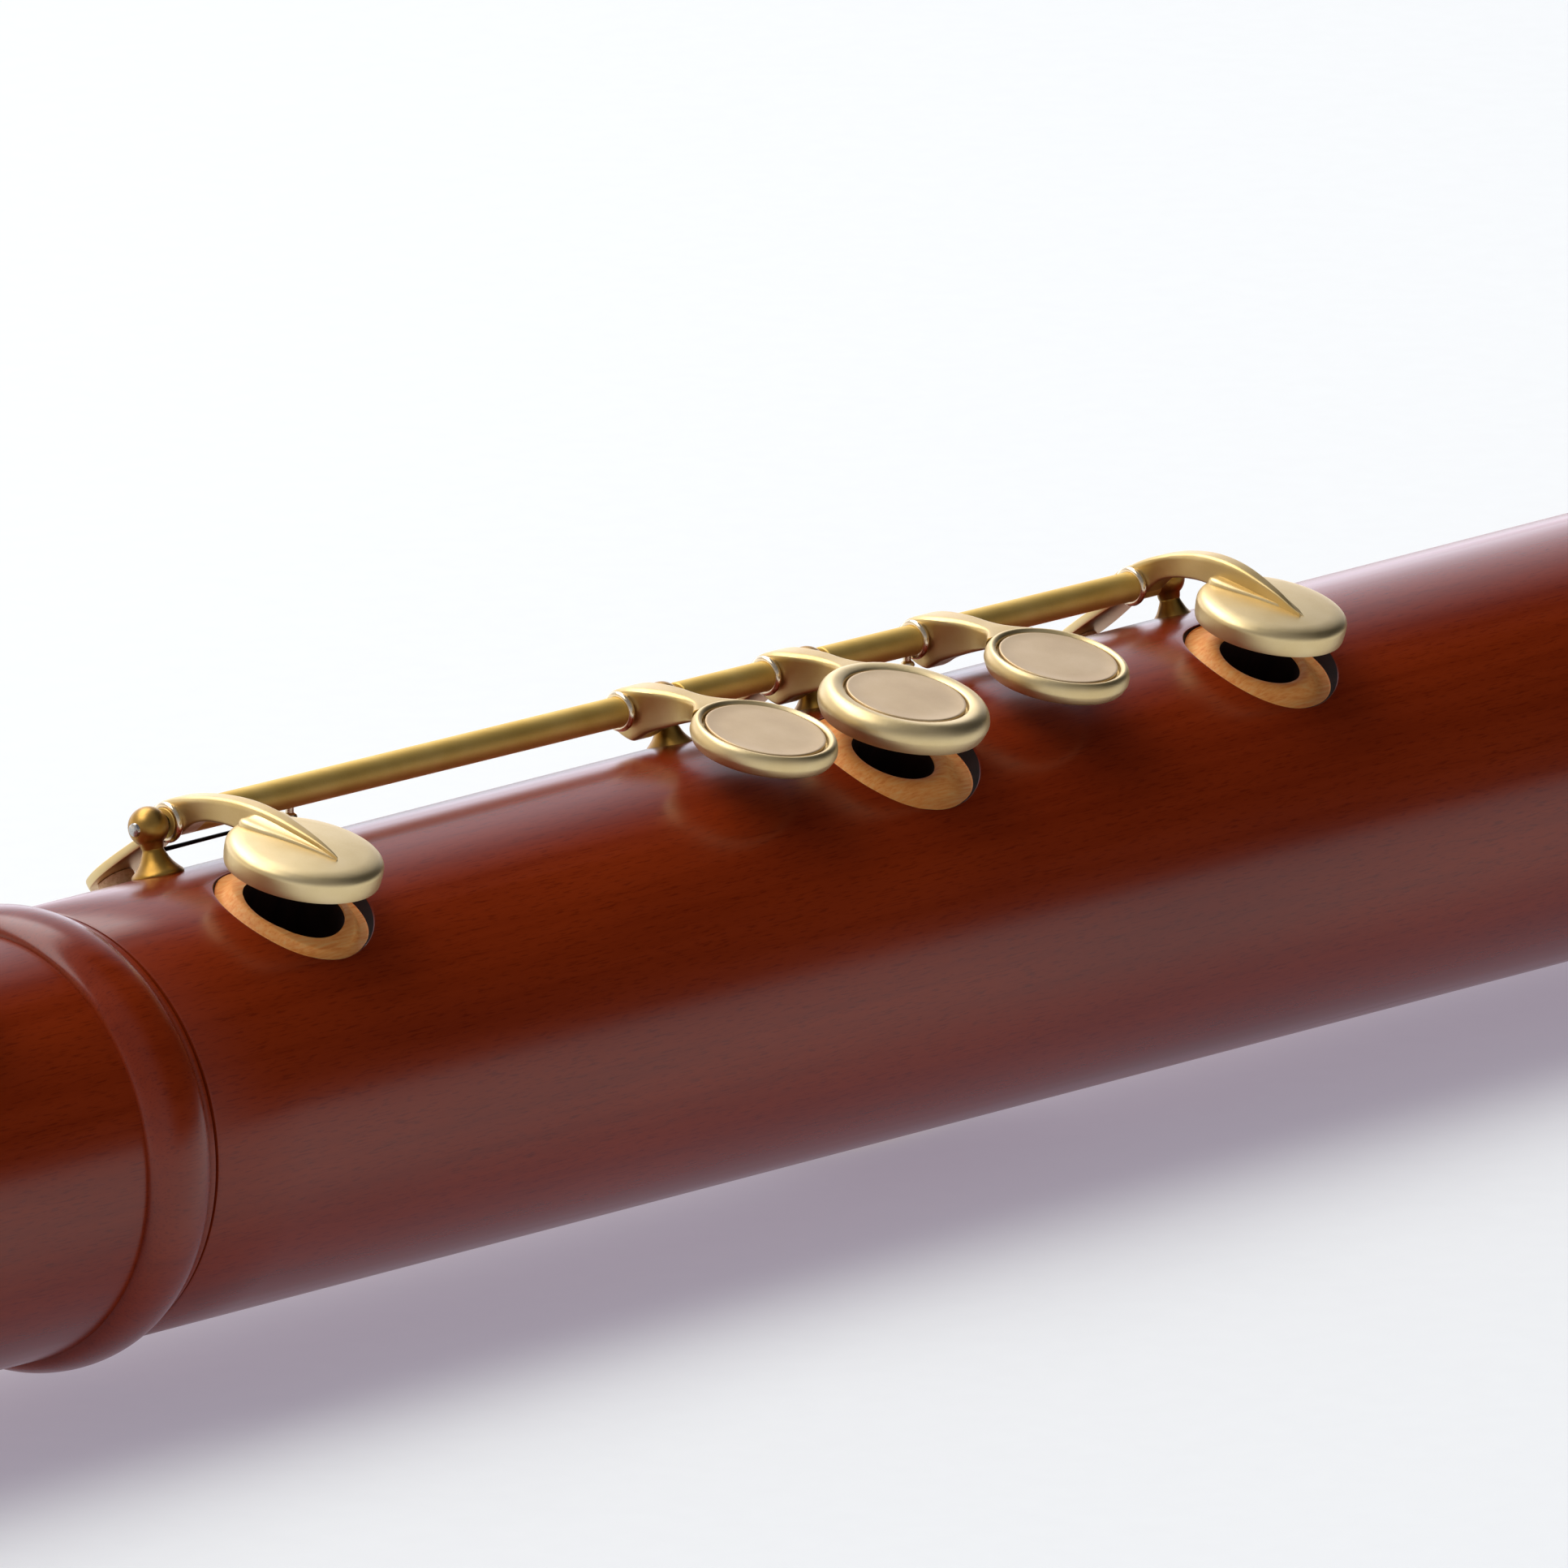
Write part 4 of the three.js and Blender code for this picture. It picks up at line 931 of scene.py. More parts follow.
CUP_ARM = [
    (3.2, -0.25, 3.1, -0.65, 1.5, 0.15, 0.15),
    (2.7, 0.75, 2.8, -1.0, 2.1, 0.4, 0.3),
    (1.5, 1.65, 1.9, -1.45, ARM_WIDTH, 0.5, 0.3),
    (0.4, 2.12, 0.9, -1.62, ARM_WIDTH, 0.5, 0.3),
    (-0.7, 2.5, 0.1, -1.62, ARM_WIDTH, 0.5, 0.3),
    (-2.3, 2.85, -1.2, -1.15, ARM_WIDTH, 0.5, 0.3),
    (-4.0, 3.1, -2.9, 0.15, 2.45, 0.5, 0.3),
    (-5.6, 3.25, -4.7, 0.68, 2.4, 0.5, 0.3),
    (-7.8, 3.3, -6.9, 0.75, 2.35, 0.5, 0.3),
    (-9.9, 3.18, -9.0, 0.6, 2.25, 0.45, 0.2),
    (-12.1, 2.85, -11.8, 0.7, 2.0, 0.4, 0.1),
    (-14.2, 2.35, -14.0, 0.35, 1.7, 0.34, 0.1),
    (-16.4, 1.65, -16.3, -0.1, 1.3, 0.26, 0.1),
    (-18.5, 0.88, -18.5, -0.6, 0.85, 0.18, 0.1),
    (-20.2, 0.1, -20.2, -0.95, 0.42, 0.09, 0.1),
    (-LONG_ARM, -0.42, -LONG_ARM, -1.1, 0.12, 0.03, 0.1),
]
CUP_EDGE_Y = -9.5


def arched(rows, arch, lift):
    """The long arm arched higher between its ends, with its far end lifted."""
    out = []
    for top_y, top_z, bottom_y, bottom_z, *section in rows:
        share = max(0.0, min(1.0, -top_y / LONG_ARM))
        rise = arch * max(0.0, math.sin(math.pi * min(1.0, share * 1.05))) ** 0.8
        end = lift * min(1.0, share * 1.6)
        under = rise * 0.8 if bottom_y > CUP_EDGE_Y else 0.0
        out.append((top_y, top_z + rise + end, bottom_y, bottom_z + end + under, *section))
    return out


def rounded_bar(half_width, top, bottom, round_top, round_bottom):
    """Section of a bar as (across, y, z) points. Top and bottom are (y, z) places."""
    top, bottom = np.asarray(top), np.asarray(bottom)
    height = max(np.linalg.norm(top - bottom), 1e-6)
    up = (top - bottom) / height
    round_top = min(round_top, half_width * 0.95, height * 0.45)
    round_bottom = min(round_bottom, half_width * 0.95, height * 0.45)
    section = []

    def corner(x, z, radius, quarter):
        for t in np.linspace(quarter, quarter + 1, 5) * math.pi / 2:
            section.append((x + radius * math.cos(t), z + radius * math.sin(t)))

    def side(start, end, shares):
        for share in shares:
            section.append((start[0] + (end[0] - start[0]) * share, start[1] + (end[1] - start[1]) * share))

    level_shares, upright_shares = (0.12, 0.5, 0.88), (0.1, 0.5, 0.9)
    inner_top, inner_bottom = half_width - round_top, half_width - round_bottom
    high = height - round_top
    corner(inner_top, high, round_top, 0)
    side((inner_top, height), (-inner_top, height), level_shares)
    corner(-inner_top, high, round_top, 1)
    side((-half_width, high), (-half_width, round_bottom), upright_shares)
    corner(-inner_bottom, round_bottom, round_bottom, 2)
    side((-inner_bottom, 0), (inner_bottom, 0), level_shares)
    corner(inner_bottom, round_bottom, round_bottom, 3)
    side((half_width, round_bottom), (half_width, high), upright_shares)
    return [(x, *(bottom + up * z)) for x, z in section]


def arm_rings(rows, x, hinge, flare, count=44):
    """An arm soldered across the hinge tube. The flare widens its low X side near the tube."""
    rings = []
    for top_y, top_z, bottom_y, bottom_z, width, round_top, round_bottom in smooth_through(rows, count):
        share = min(1.0, max(0.0, (top_y + 7.5) / 6.5))
        extra = flare * share * share * (3 - 2 * share)
        half = max(width, 0.05) / 2
        height = max(1e-6, math.hypot(top_y - bottom_y, top_z - bottom_z))
        section = rounded_bar(half, (top_y, top_z), (bottom_y, bottom_z),
                              max(round_top, 0.01), max(round_bottom, 0.01))
        ring = []
        for across, y, z in section:
            up = min(1.0, math.hypot(y - bottom_y, z - bottom_z) / height)
            wider = extra * (0.3 + 0.7 * up) * max(0.0, -across / half)
            ring.append((x + across - wider, hinge[1] + y, hinge[2] + z))
        rings.append(ring)
    return rings


def spear_foot(x, station, lift):
    """The pointed plate under the end of the arm, with a lip on each side and a fillet up to the arm."""
    place = cup_place(x, station, lift)
    # Rows are the place towards the hinge, the half width, the height over the dome and the fillet's height.
    rows = smooth_through([
        (7.35, 1.5, 0.0, 0.1), (6.9, 2.4, 0.42, 0.35), (6.1, 2.95, 0.6, 0.5), (4.2, 2.65, 0.62, 0.6),
        (1.8, 1.95, 0.6, 0.62), (-1.0, 1.1, 0.54, 0.45), (-3.0, 0.45, 0.42, 0.2), (-4.1, 0.08, 0.2, 0.02),
    ], 30)
    # Shares of the half width, of the plate's height and of the fillet, from the edge to the middle
    shares = ((1, -0.8, 0), (1, 0.3, 0), (0.97, 0.7, 0), (0.91, 0.94, 0), (0.82, 1.0, 0.02),
              (0.66, 0.92, 0.08), (0.5, 0.9, 0.24), (0.37, 0.92, 0.5), (0.27, 1.0, 1.0))
    outline = [(-across, high, up) for across, high, up in shares] + list(reversed(shares)) + [(0, -0.8, 0)]
    rings = []
    for along, half, rise, fillet in rows:
        half = max(half, 0.03)
        section = []
        for across, high, up in outline:
            dome = dome_height(min(math.hypot(across * half, along), 7.0))
            section.append((across * half, along, min(dome, 2.75) + rise * high + fillet * up))
        rings.append(place(section))
    return rings


def tail_rings(x, hinge):
    """The flat back stop: narrow at the tube, broad and round at its end."""
    level = 0.5
    c, s = math.cos(TAIL_DROP), math.sin(TAIL_DROP)
    # Rows are the place along the stop and its half width.
    rows = [(0.3, 1.45), (2.5, 1.8), (5.0, 2.6), (8.0, 3.1), (10.5, 3.05), (12.6, 2.35), (13.8, 1.35),
            (14.4, 0.45), (14.5, 0.06)]
    rings = []
    for along, half in smooth_through(rows, 30):
        half = max(half, 0.05)
        edge = min(0.22, half * 0.5)
        right = [(half - edge, level), (half - edge * 0.3, 0.42), (half, 0.25)]
        right += [(across, -height) for across, height in reversed(right)]
        left = [(-across, height) for across, height in reversed(right)]
        section = [*right, (0, -level), *left, (0, level)]
        rings.append([(x + across, hinge[1] + along * c + height * s, hinge[2] - along * s + height * c)
                      for across, height in section])
    return rings


def tube_profile(start, end):
    bore, edge = 0.9, 0.12
    return [(bore, start), (TUBE_RADIUS - edge, start), (TUBE_RADIUS, start + edge),
            (TUBE_RADIUS, end - edge), (TUBE_RADIUS - edge, end), (bore, end)]


def ring_profile(middle, radius, thick):
    return [(radius + thick * math.cos(t), middle + thick * math.sin(t)) for t in full_turn(12)]


def soldered_key(name, key, station):
    """The hinge tube with its back stop, arms, touch or cup and spring peg, soldered into one."""
    hinge = station.hinge()
    tube_low, tube_high = key.tube_ends()
    shape = Shape()
    shape.add_turned(tube_profile(tube_low, tube_high), 48, along_x(hinge), TUBE)
    # The back stop, cups, touch rims and spear foot take the rim finish, whose paler gold is a painted
    # highlight.
    shape.add_skin(tail_rings(key.arm, hinge), RIM)
    if key.touch is None:
        arms = (key.arm,)
        finger = rim_profile(FINGER_RADIUS, FINGER_THICKNESS, PAD_CELL)
        shape.add_turned(finger, TURNED_SIDES, cup_place(key.cup, station), RIM)
        shape.add_skin(arm_rings(TOUCH_ARM, key.arm, hinge, key.flares[0]), GOLD)
    else:
        arms = (key.arm, key.touch)
        touch = rim_profile(TOUCH_RADIUS, TOUCH_THICKNESS, [(0, 0.0)])
        shape.add_turned(raised(touch, TOUCH_LOW), TURNED_SIDES, cup_place(key.touch, station), RIM)
        shape.add_skin(arm_rings(TOUCH_ARM, key.touch, hinge, key.flares[1]), GOLD)
        shape.add_turned(cup_profile(), TURNED_SIDES, cup_place(key.cup, station, key.lift), RIM)
        long_arm = arched(CUP_ARM, key.arch, key.lift)
        shape.add_skin(arm_rings(long_arm, key.arm, hinge, key.flares[0], 60), GOLD)
        shape.add_skin(spear_foot(key.cup, station, key.lift), RIM)
    # Bright solder where the tube enters each arm
    for arm, flare in zip(arms, key.flares):
        x = arm - ARM_WIDTH / 2 - flare
        if tube_low + 0.3 < x < tube_high - 0.3:
            shape.add_turned(ring_profile(x, TUBE_RADIUS + 0.08, 0.42), 40, along_x(hinge), SOLDER)
    # The spring peg under the tube has two small knobs
    peg = [(0.0, 0.0), (0.42, 0.0), (0.42, -0.75), (0.7, -0.95), (0.8, -1.2), (0.7, -1.45), (0.36, -1.62),
           (0.36, -1.8), (0.62, -2.0), (0.7, -2.25), (0.6, -2.5), (0.3, -2.68), (0.0, -2.72)]
    root = X_AXIS * key.peg + hinge - np.array([0.0, 0.0, TUBE_RADIUS * 0.8])
    shape.add_turned(peg, 24, lambda points: root + points, SOLDER)
    piece = shape.build(name + "_soldered", "gold", "solder", "rim", "tube")
    finish_piece(piece, name + "_body", [name])


def inlay(name, key, station):
    shape = Shape()
    if key.touch is None:
        loop, x = inlay_profile(FINGER_THICKNESS), key.cup
    else:
        loop, x = raised(inlay_profile(TOUCH_THICKNESS), TOUCH_LOW), key.touch
    shape.add_turned(loop, TURNED_SIDES, cup_place(x, station))
    piece = shape.build(name + "_inlay_disc", "inlay")
    finish_piece(piece, name + "_body", [name + "_inlay"])


def pad(name, key, station):
    shape = Shape()
    loop = [(0, -0.45), (5.9, -0.45), (6.25, -0.41), (6.45, -0.28), (6.5, -0.05), (6.48, 0.7), (6.3, 0.95),
            (0, 1.0)]
    shape.add_turned(loop, 64, cup_place(key.cup, station, key.lift))
    piece = shape.build(name + "_pad_leather", "pad")
    finish_piece(piece, name + "_body", [name + "_pad"])


def needle(name, station):
    """A needle spring set in its post, bent a little towards the peg of its key."""
    low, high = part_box(name + "_spring")
    start, end = low.x / MM - SHIFT[0], high.x / MM - SHIFT[0]
    line = station.hinge() + np.array([0.0, 1.3, -3.1])

    def bent(points):
        bend = NEEDLE_BEND * (points[:, 2] - start) / (end - start)
        return np.stack([points[:, 2], line[1] + points[:, 0] + bend, line[2] + points[:, 1]], 1)

    shape = Shape()
    loop = [(0.0, start), (0.24, start), (0.24, start + 1.0), (0.17, end - 1.0), (0.1, end), (0.0, end)]
    shape.add_turned(loop, 16, bent)
    piece = shape.build(name + "_needle", "blued")
    finish_piece(piece, station.body, [name + "_spring"])


def stop_cork(name, key, station):
    """A round cushion under the back stop, its lower face hollowed to the wood."""
    along = np.array([0.0, math.cos(TAIL_DROP), -math.sin(TAIL_DROP)])
    down = np.array([0.0, -math.sin(TAIL_DROP), -math.cos(TAIL_DROP)])
    middle = X_AXIS * key.arm + station.hinge() + along * CORK_ALONG_TAIL
    wood = station.wood(key.arm) + SEAM_GAP

    def drop_to(radius, point):
        """How far a point has to go down to a turned surface."""
        b = point.dot(down)
        c = point[1] ** 2 + point[2] ** 2 - radius ** 2
        return -b - math.sqrt(max(0.0, b * b - c))

    def ring(radius, drop):
        points = [middle + radius * (X_AXIS * math.cos(turn) + along * math.sin(turn))
                  for turn in full_turn(40)]
        return [point + down * drop(point) for point in points]

    shape = Shape()
    shape.add_skin([
        ring(1.85, lambda point: 0.56),
        ring(1.9, lambda point: 0.62),
        ring(1.9, lambda point: drop_to(wood + 0.1, point)),
        ring(1.8, lambda point: drop_to(wood, point)),
    ])
    piece = shape.build(name + "_cork_cushion", "stop_cork")
    finish_piece(piece, name + "_body", [name + "_stop_cork"])


# Posts and rods

def piece_tree(name, inputs):
    """A geometry nodes tree with named inputs, and the node that gives them."""
    tree = bpy.data.node_groups.new(name, "GeometryNodeTree")
    for label, kind in inputs.items():
        tree.interface.new_socket(label, in_out="INPUT", socket_type="NodeSocket" + kind)
    tree.interface.new_socket("Geometry", in_out="OUTPUT", socket_type="NodeSocketGeometry")
    return tree, add_node(tree, "NodeGroupInput").outputs


def end_tree(tree, given, geometry):
    """Makes the instances real, gives them their finish and hands them out."""
    real = add_node(tree, "GeometryNodeRealizeInstances", {"Geometry": geometry})
    coat = add_node(tree, "GeometryNodeSetMaterial", {
        "Geometry": real.outputs["Geometry"], "Material": given["Finish"]})
    add_node(tree, "NodeGroupOutput", {"Geometry": coat.outputs["Geometry"]})
    return tree


def copies_tree():
    """Geometry nodes that put a copy of a piece on each point, turned about X by a lean."""
    tree, given = piece_tree("copies_on_points", {
        "Geometry": "Geometry", "Piece": "Object", "Lean": "Float", "Finish": "Material"})
    pattern = add_node(tree, "GeometryNodeObjectInfo", {"Object": given["Piece"]}, transform_space="ORIGINAL")
    turn = add_node(tree, "ShaderNodeCombineXYZ", {"X": given["Lean"]})
    spread = add_node(tree, "GeometryNodeInstanceOnPoints", {
        "Points": given["Geometry"],
        "Instance": pattern.outputs["Geometry"],
        "Rotation": turn.outputs["Vector"],
    })
    return end_tree(tree, given, spread.outputs["Instances"])


def sweep_tree():
    """Geometry nodes that sweep a round section along the edges of a path."""
    tree, given = piece_tree("sweep_along_path", {
        "Geometry": "Geometry", "Radius": "Float", "Sides": "Int", "Finish": "Material"})
    path = add_node(tree, "GeometryNodeMeshToCurve", {"Mesh": given["Geometry"]})
    section = add_node(tree, "GeometryNodeCurvePrimitiveCircle", {
        "Resolution": given["Sides"], "Radius": given["Radius"]})
    swept = add_node(tree, "GeometryNodeCurveToMesh", {
        "Curve": path.outputs["Curve"], "Profile Curve": section.outputs["Curve"], "Fill Caps": True})
    return end_tree(tree, given, swept.outputs["Mesh"])


def held(name, points, edges, tree, inputs):
    """Points and edges of the body frame, with a geometry nodes tree and its inputs on them."""
    mesh = bpy.data.meshes.new(name)
    mesh.from_pydata(in_row_frame(points), edges, [])
    holder = linked(name + "_holder", mesh)
    modifier = holder.modifiers.new(tree.name, "NODES")
    modifier.node_group = tree
    for item in tree.interface.items_tree:
        if item.name in inputs:
            modifier[item.identifier] = inputs[item.name]
    return holder


def swept_bar(name, path, radius, finish, sides=48):
    """A round bar along a path of the body frame."""
    tree = bpy.data.node_groups.get("sweep_along_path") or sweep_tree()
    edges = [(i, i + 1) for i in range(len(path) - 1)]
    inputs = {"Radius": radius * MM, "Sides": sides, "Finish": FINISHES[finish]}
    holder = held(name, path, edges, tree, inputs)
    return settled(name, holder)


def post_pattern(rise):
    """One ball-headed post, standing on its own foot at the origin, in metres."""
    screw_radius, screw_end = 1.15, -3.6
    table = [(2.62, 0.0), (2.6, 0.12), (2.45, 0.35), (2.05, 0.75), (1.6, 1.3), (1.25, 2.0)]
    neck = smooth_through(table + [(1.06, rise * 0.52), (1.12, rise - 2.1)], 20)
    loop = [(0.0, screw_end), (screw_radius, screw_end), (screw_radius, -0.5), (2.5, -0.5), *neck]
    for t in np.linspace(-0.92, math.pi / 2, 20)[:-1]:
        loop.append((BALL_RADIUS * math.cos(t), rise + BALL_RADIUS * math.sin(t)))
    loop.append((0.0, rise + BALL_RADIUS))
    points, faces = revolved(loop, 48, lambda points: points)
    mesh = bpy.data.meshes.new("post_pattern")
    mesh.from_pydata((points * MM).tolist(), [], faces)
    return linked("post_pattern", mesh)


def posts(name, station):
    """The posts of one rod, as copies of one pattern that lean away from the bore."""
    hinge = station.hinge()
    lean = math.atan2(hinge[1], hinge[2])
    wood = station.wood(min(station.posts.values())) - 0.02
    pattern = post_pattern(math.hypot(hinge[1], hinge[2]) - wood)
    feet = [(x, wood * math.sin(lean), wood * math.cos(lean)) for x in station.posts.values()]
    tree = bpy.data.node_groups.get("copies_on_points") or copies_tree()
    holder = held(name, feet, [], tree, {"Piece": pattern, "Lean": -lean, "Finish": FINISHES["post"]})
    piece = settled(name, holder, [pattern], math.radians(40))
    finish_piece(piece, station.body, list(station.posts))


def rod(station):
    """A turned rod with a small crowned head, just out of the first post."""
    start = min(station.posts.values()) - BALL_RADIUS
    end = max(station.posts.values()) + 0.2
    loop = [(0.0, start - 0.28), (0.35, start - 0.26), (0.62, start - 0.12), (0.7, start + 0.1),
            (0.72, start + 0.4), (ROD_RADIUS, start + 0.5), (ROD_RADIUS, end), (0.0, end)]
    shape = Shape()
    shape.add_turned(loop, 32, along_x(station.hinge()))
    piece = shape.build(station.rod + "_turned", "steel")
    finish_piece(piece, station.body, [station.rod])


# Body joints

def centre_joint(sides):
    """The middle joint with its two lapped tenons and its tone holes."""
    soft, tip = 0.35, 0.4
    foot_shoulder, head_shoulder = body_radius(FOOT_SEAM_X), body_radius(HEAD_SEAM_X)
    lower, upper = LOWER_TENON_RADIUS, UPPER_TENON_RADIUS
    outer = [
        (LOWER_TENON_X, lower - tip), (LOWER_TENON_X + tip, lower),
        (LOWER_TENON_X + CORK_MARGIN, lower), (LOWER_TENON_X + CORK_MARGIN, lower - CORK_DEPTH),
        (FOOT_SEAM_X - CORK_MARGIN, lower - CORK_DEPTH), (FOOT_SEAM_X - CORK_MARGIN, lower),
        (FOOT_SEAM_X, lower), (FOOT_SEAM_X, foot_shoulder - soft),
        (FOOT_SEAM_X + 0.1, foot_shoulder - 0.12), (FOOT_SEAM_X + soft, foot_shoulder),
    ]
    outer += [(x, body_radius(x)) for x in (-40, 25, 100, 160, 228, 312)]
    outer += [
        (HEAD_SEAM_X - soft, head_shoulder), (HEAD_SEAM_X, head_shoulder - soft),
        (HEAD_SEAM_X, upper), (HEAD_SEAM_X + CORK_MARGIN, upper),
        (HEAD_SEAM_X + CORK_MARGIN, upper - CORK_DEPTH), (UPPER_TENON_X - CORK_MARGIN, upper - CORK_DEPTH),
        (UPPER_TENON_X - CORK_MARGIN, upper), (UPPER_TENON_X - tip, upper), (UPPER_TENON_X, upper - tip),
    ]
    inner = [(LOWER_TENON_X, BORE_FOOT_SEAM), (UPPER_TENON_X, BORE_HEAD)]
    piece = PiercedTube(outer, inner, CENTRE_HOLES, sides).build("centre_joint_turned", "wood", "raw", "bore")
    finish_piece(piece, "centre", ["centre_joint"])


def foot_joint(sides):
    """The foot with its bell, waist, beaded ring and socket."""
    seam = FOOT_SEAM_X - SEAM_GAP
    rim = body_radius(FOOT_SEAM_X) + SLIDE_FIT
    socket_x, socket = FOOT_SEAM_X - SOCKET_DEPTH, LOWER_TENON_RADIUS + SLIDE_FIT
    outer = bead(FOOT_END_X, FOOT_END_X + BELL_BAND, BELL_RADIUS, BELL_RADIUS, 1.6, BELL_STEPS)
    outer += bead(FOOT_END_X + BELL_BAND, BELL_X, BELL_RADIUS, WAIST_RADIUS, 0.0, BELL_STEPS)[1:]
    outer += [(x, foot_radius(x)) for x in (-230, -184, -160)]
    outer += bead(FOOT_RING_X, FOOT_SEAM_X - 1.2, FOOT_RADIUS, body_radius(FOOT_SEAM_X) - 0.25, 1.7)
    outer += [(FOOT_SEAM_X - 1.12, rim - 0.1), (FOOT_SEAM_X - 0.95, rim)]
    outer += [(seam - 0.2, rim), (seam, rim - 0.2)]
    inner = [(FOOT_END_X, BORE_FOOT_END), (socket_x, BORE_FOOT_SEAM), (socket_x, socket), (seam, socket)]
    piece = PiercedTube(outer, inner, FOOT_HOLES, sides).build("foot_joint_turned", "wood", "raw", "bore")
    finish_piece(piece, "foot", ["foot_joint"])


EDGE_X = WINDWAY_X - 10.0
EDGE_HEIGHT = BORE_HEAD + 1.4
RAMP_LENGTH = 46.0
WINDOW_HALF = 11.0
OVER_WOOD = 26.4


def head_joint(sides):
    """The head with its ring, socket and cap tenon, and with its ramp, window and windway cut in."""
    start = HEAD_SEAM_X + SEAM_GAP
    rim = body_radius(HEAD_SEAM_X)
    socket_x, socket = HEAD_SEAM_X + SOCKET_DEPTH, UPPER_TENON_RADIUS + SLIDE_FIT
    ring_rise = RING_RADIUS - (rim + HEAD_RADIUS) / 2 + BEAD_DIP
    ring_start, ring_end = HEAD_SEAM_X + 1.2, HEAD_SEAM_X + 15.0
    outer = [(start, rim - 0.2), (start + 0.2, rim), (ring_start - 0.1, rim), (ring_start, rim - BEAD_DIP)]
    outer += bead(ring_start + 0.1, ring_end - 0.1, rim - BEAD_DIP, HEAD_RADIUS - BEAD_DIP, ring_rise)[1:]
    outer += [
        (ring_end, HEAD_RADIUS), (CAP_SEAM_X - 0.4, HEAD_RADIUS),
        (CAP_SEAM_X - 0.1, HEAD_RADIUS - 0.12), (CAP_SEAM_X, HEAD_RADIUS - 0.4),
        (CAP_SEAM_X, CAP_TENON_RADIUS), (HEAD_TOP_X - 0.5, CAP_TENON_RADIUS),
        (HEAD_TOP_X, CAP_TENON_RADIUS - 0.5),
    ]
    inner = [(HEAD_TOP_X, BORE_HEAD), (socket_x, BORE_HEAD), (socket_x, socket), (start, socket)]
    ramp_cut = [(EDGE_X - RAMP_LENGTH, HEAD_RADIUS), (EDGE_X, EDGE_HEIGHT),
                (EDGE_X, OVER_WOOD), (EDGE_X - RAMP_LENGTH, OVER_WOOD)]
    wall = WINDWAY_X + 0.6
    window_cut = [(EDGE_X - 0.01, 1.4), (WINDWAY_X, 1.4), (WINDWAY_X, EDGE_HEIGHT - 0.1),
                  (wall, EDGE_HEIGHT + 0.5), (wall, OVER_WOOD), (EDGE_X - 0.01, OVER_WOOD)]
    windway_cut = [(x, BORE_HEAD + height) for x, height in (
        (EDGE_X + 5, -1.3), (HEAD_TOP_X + 5, -1.3), (HEAD_TOP_X + 5, 1.3), (EDGE_X + 5, 1.3))]
    whole = turned_on_bore(outer + inner, sides).build("head_whole", "wood")
    cutters = [slab(outline, WINDOW_HALF).build("head_cutter", "wood")
               for outline in (ramp_cut, window_cut, windway_cut)]
    piece = carved("head_joint_turned", whole, cutters)
    finish_piece(piece, body_of("head_joint"), ["head_joint"])


def windway_block(sides):
    """The block that fills the bore behind the window, with the floor of the windway planed on it."""
    radius = BORE_HEAD * math.cos(math.pi / 32) - 0.07
    end = HEAD_TOP_X + 4.0
    ease = 0.4
    loop = [(WINDWAY_X, 0.0), (WINDWAY_X, radius - ease), (WINDWAY_X + ease, radius),
            (end - ease, radius), (end, radius - ease), (end, 0.0)]
    floor = BORE_HEAD - 1.1
    over = 30.0
    way = [(WINDWAY_X - 1, floor - 0.9), (WINDWAY_X + 0.1, floor - 0.5), (WINDWAY_X + 0.7, floor),
           (end - 0.3, floor), (end - 0.3, over), (WINDWAY_X - 1, over)]
    whole = turned_on_bore(loop, sides).build("block_whole", "cedar")
    piece = carved("block_planed", whole, [slab(way, WINDOW_HALF - 0.15).build("block_cutter", "cedar")])
    finish_piece(piece, body_of("block"), ["block"])


def windway_cap(sides):
    """The cap over the windway, with its ring, its round end and the mouth for the crook's cork."""
    start = CAP_SEAM_X + SEAM_GAP
    round_end, mouth, ease = 9.0, 5.68, 0.3
    chamber_x, chamber = 694.0, 18.0
    step_x, socket = HEAD_TOP_X + 1.2, CAP_TENON_RADIUS + SLIDE_FIT
    side = HEAD_RADIUS - BEAD_DIP
    outer = [(start, HEAD_RADIUS - 0.2), (start + 0.2, HEAD_RADIUS), (CAP_SEAM_X + 1.1, HEAD_RADIUS)]
    outer += bead(CAP_SEAM_X + 1.2, CAP_SEAM_X + 11, side, side, RING_RADIUS - HEAD_RADIUS + BEAD_DIP)
    outer += [(CAP_SEAM_X + 11.1, HEAD_RADIUS)]
    for t in np.linspace(0, 1.45, 16):
        outer.append((CAP_END_X - round_end * (1 - math.sin(t)), HEAD_RADIUS - round_end * (1 - math.cos(t))))
    outer += [(CAP_END_X, HEAD_RADIUS - 8.2), (CAP_END_X, mouth + ease), (CAP_END_X - ease, mouth)]
    inner = [(chamber_x, mouth), (chamber_x, chamber), (step_x, chamber), (step_x, socket), (start, socket)]
    piece = turned_on_bore(outer + inner, sides).build("cap_turned", "wood")
    finish_piece(piece, body_of("cap"), ["cap"])


def tenon_cork(node, start, end, radius):
    """The lapping in the groove of a tenon."""
    gap, ease = 0.06, 0.15
    first, last = start + CORK_MARGIN + gap, end - CORK_MARGIN - gap
    inside = radius - CORK_DEPTH + gap
    loop = [(first, inside), (first, radius - ease), (first + ease, radius),
            (last - ease, radius), (last, radius - ease), (last, inside)]
    piece = turned_on_bore(loop, TURNED_SIDES).build(node + "_lapping", "cork")
    finish_piece(piece, body_of(node), [node])


# Crook and mouthpiece

CROOK_START_X = 688.0
CROOK_CORNER_X = CAP_END_X + 26.0
CROOK_BEND = math.radians(118)
CROOK_BEND_RADIUS = 38.0
CROOK_REACH = 62.0
CROOK_RADIUS = 4.2
CROOK_BORE = 3.5
CROOK_HEADING = np.array([math.cos(CROOK_BEND), math.sin(CROOK_BEND), 0.0])
MOUTHPIECE_LENGTH = 40.0
MOUTHPIECE_SOCKET = 14.0


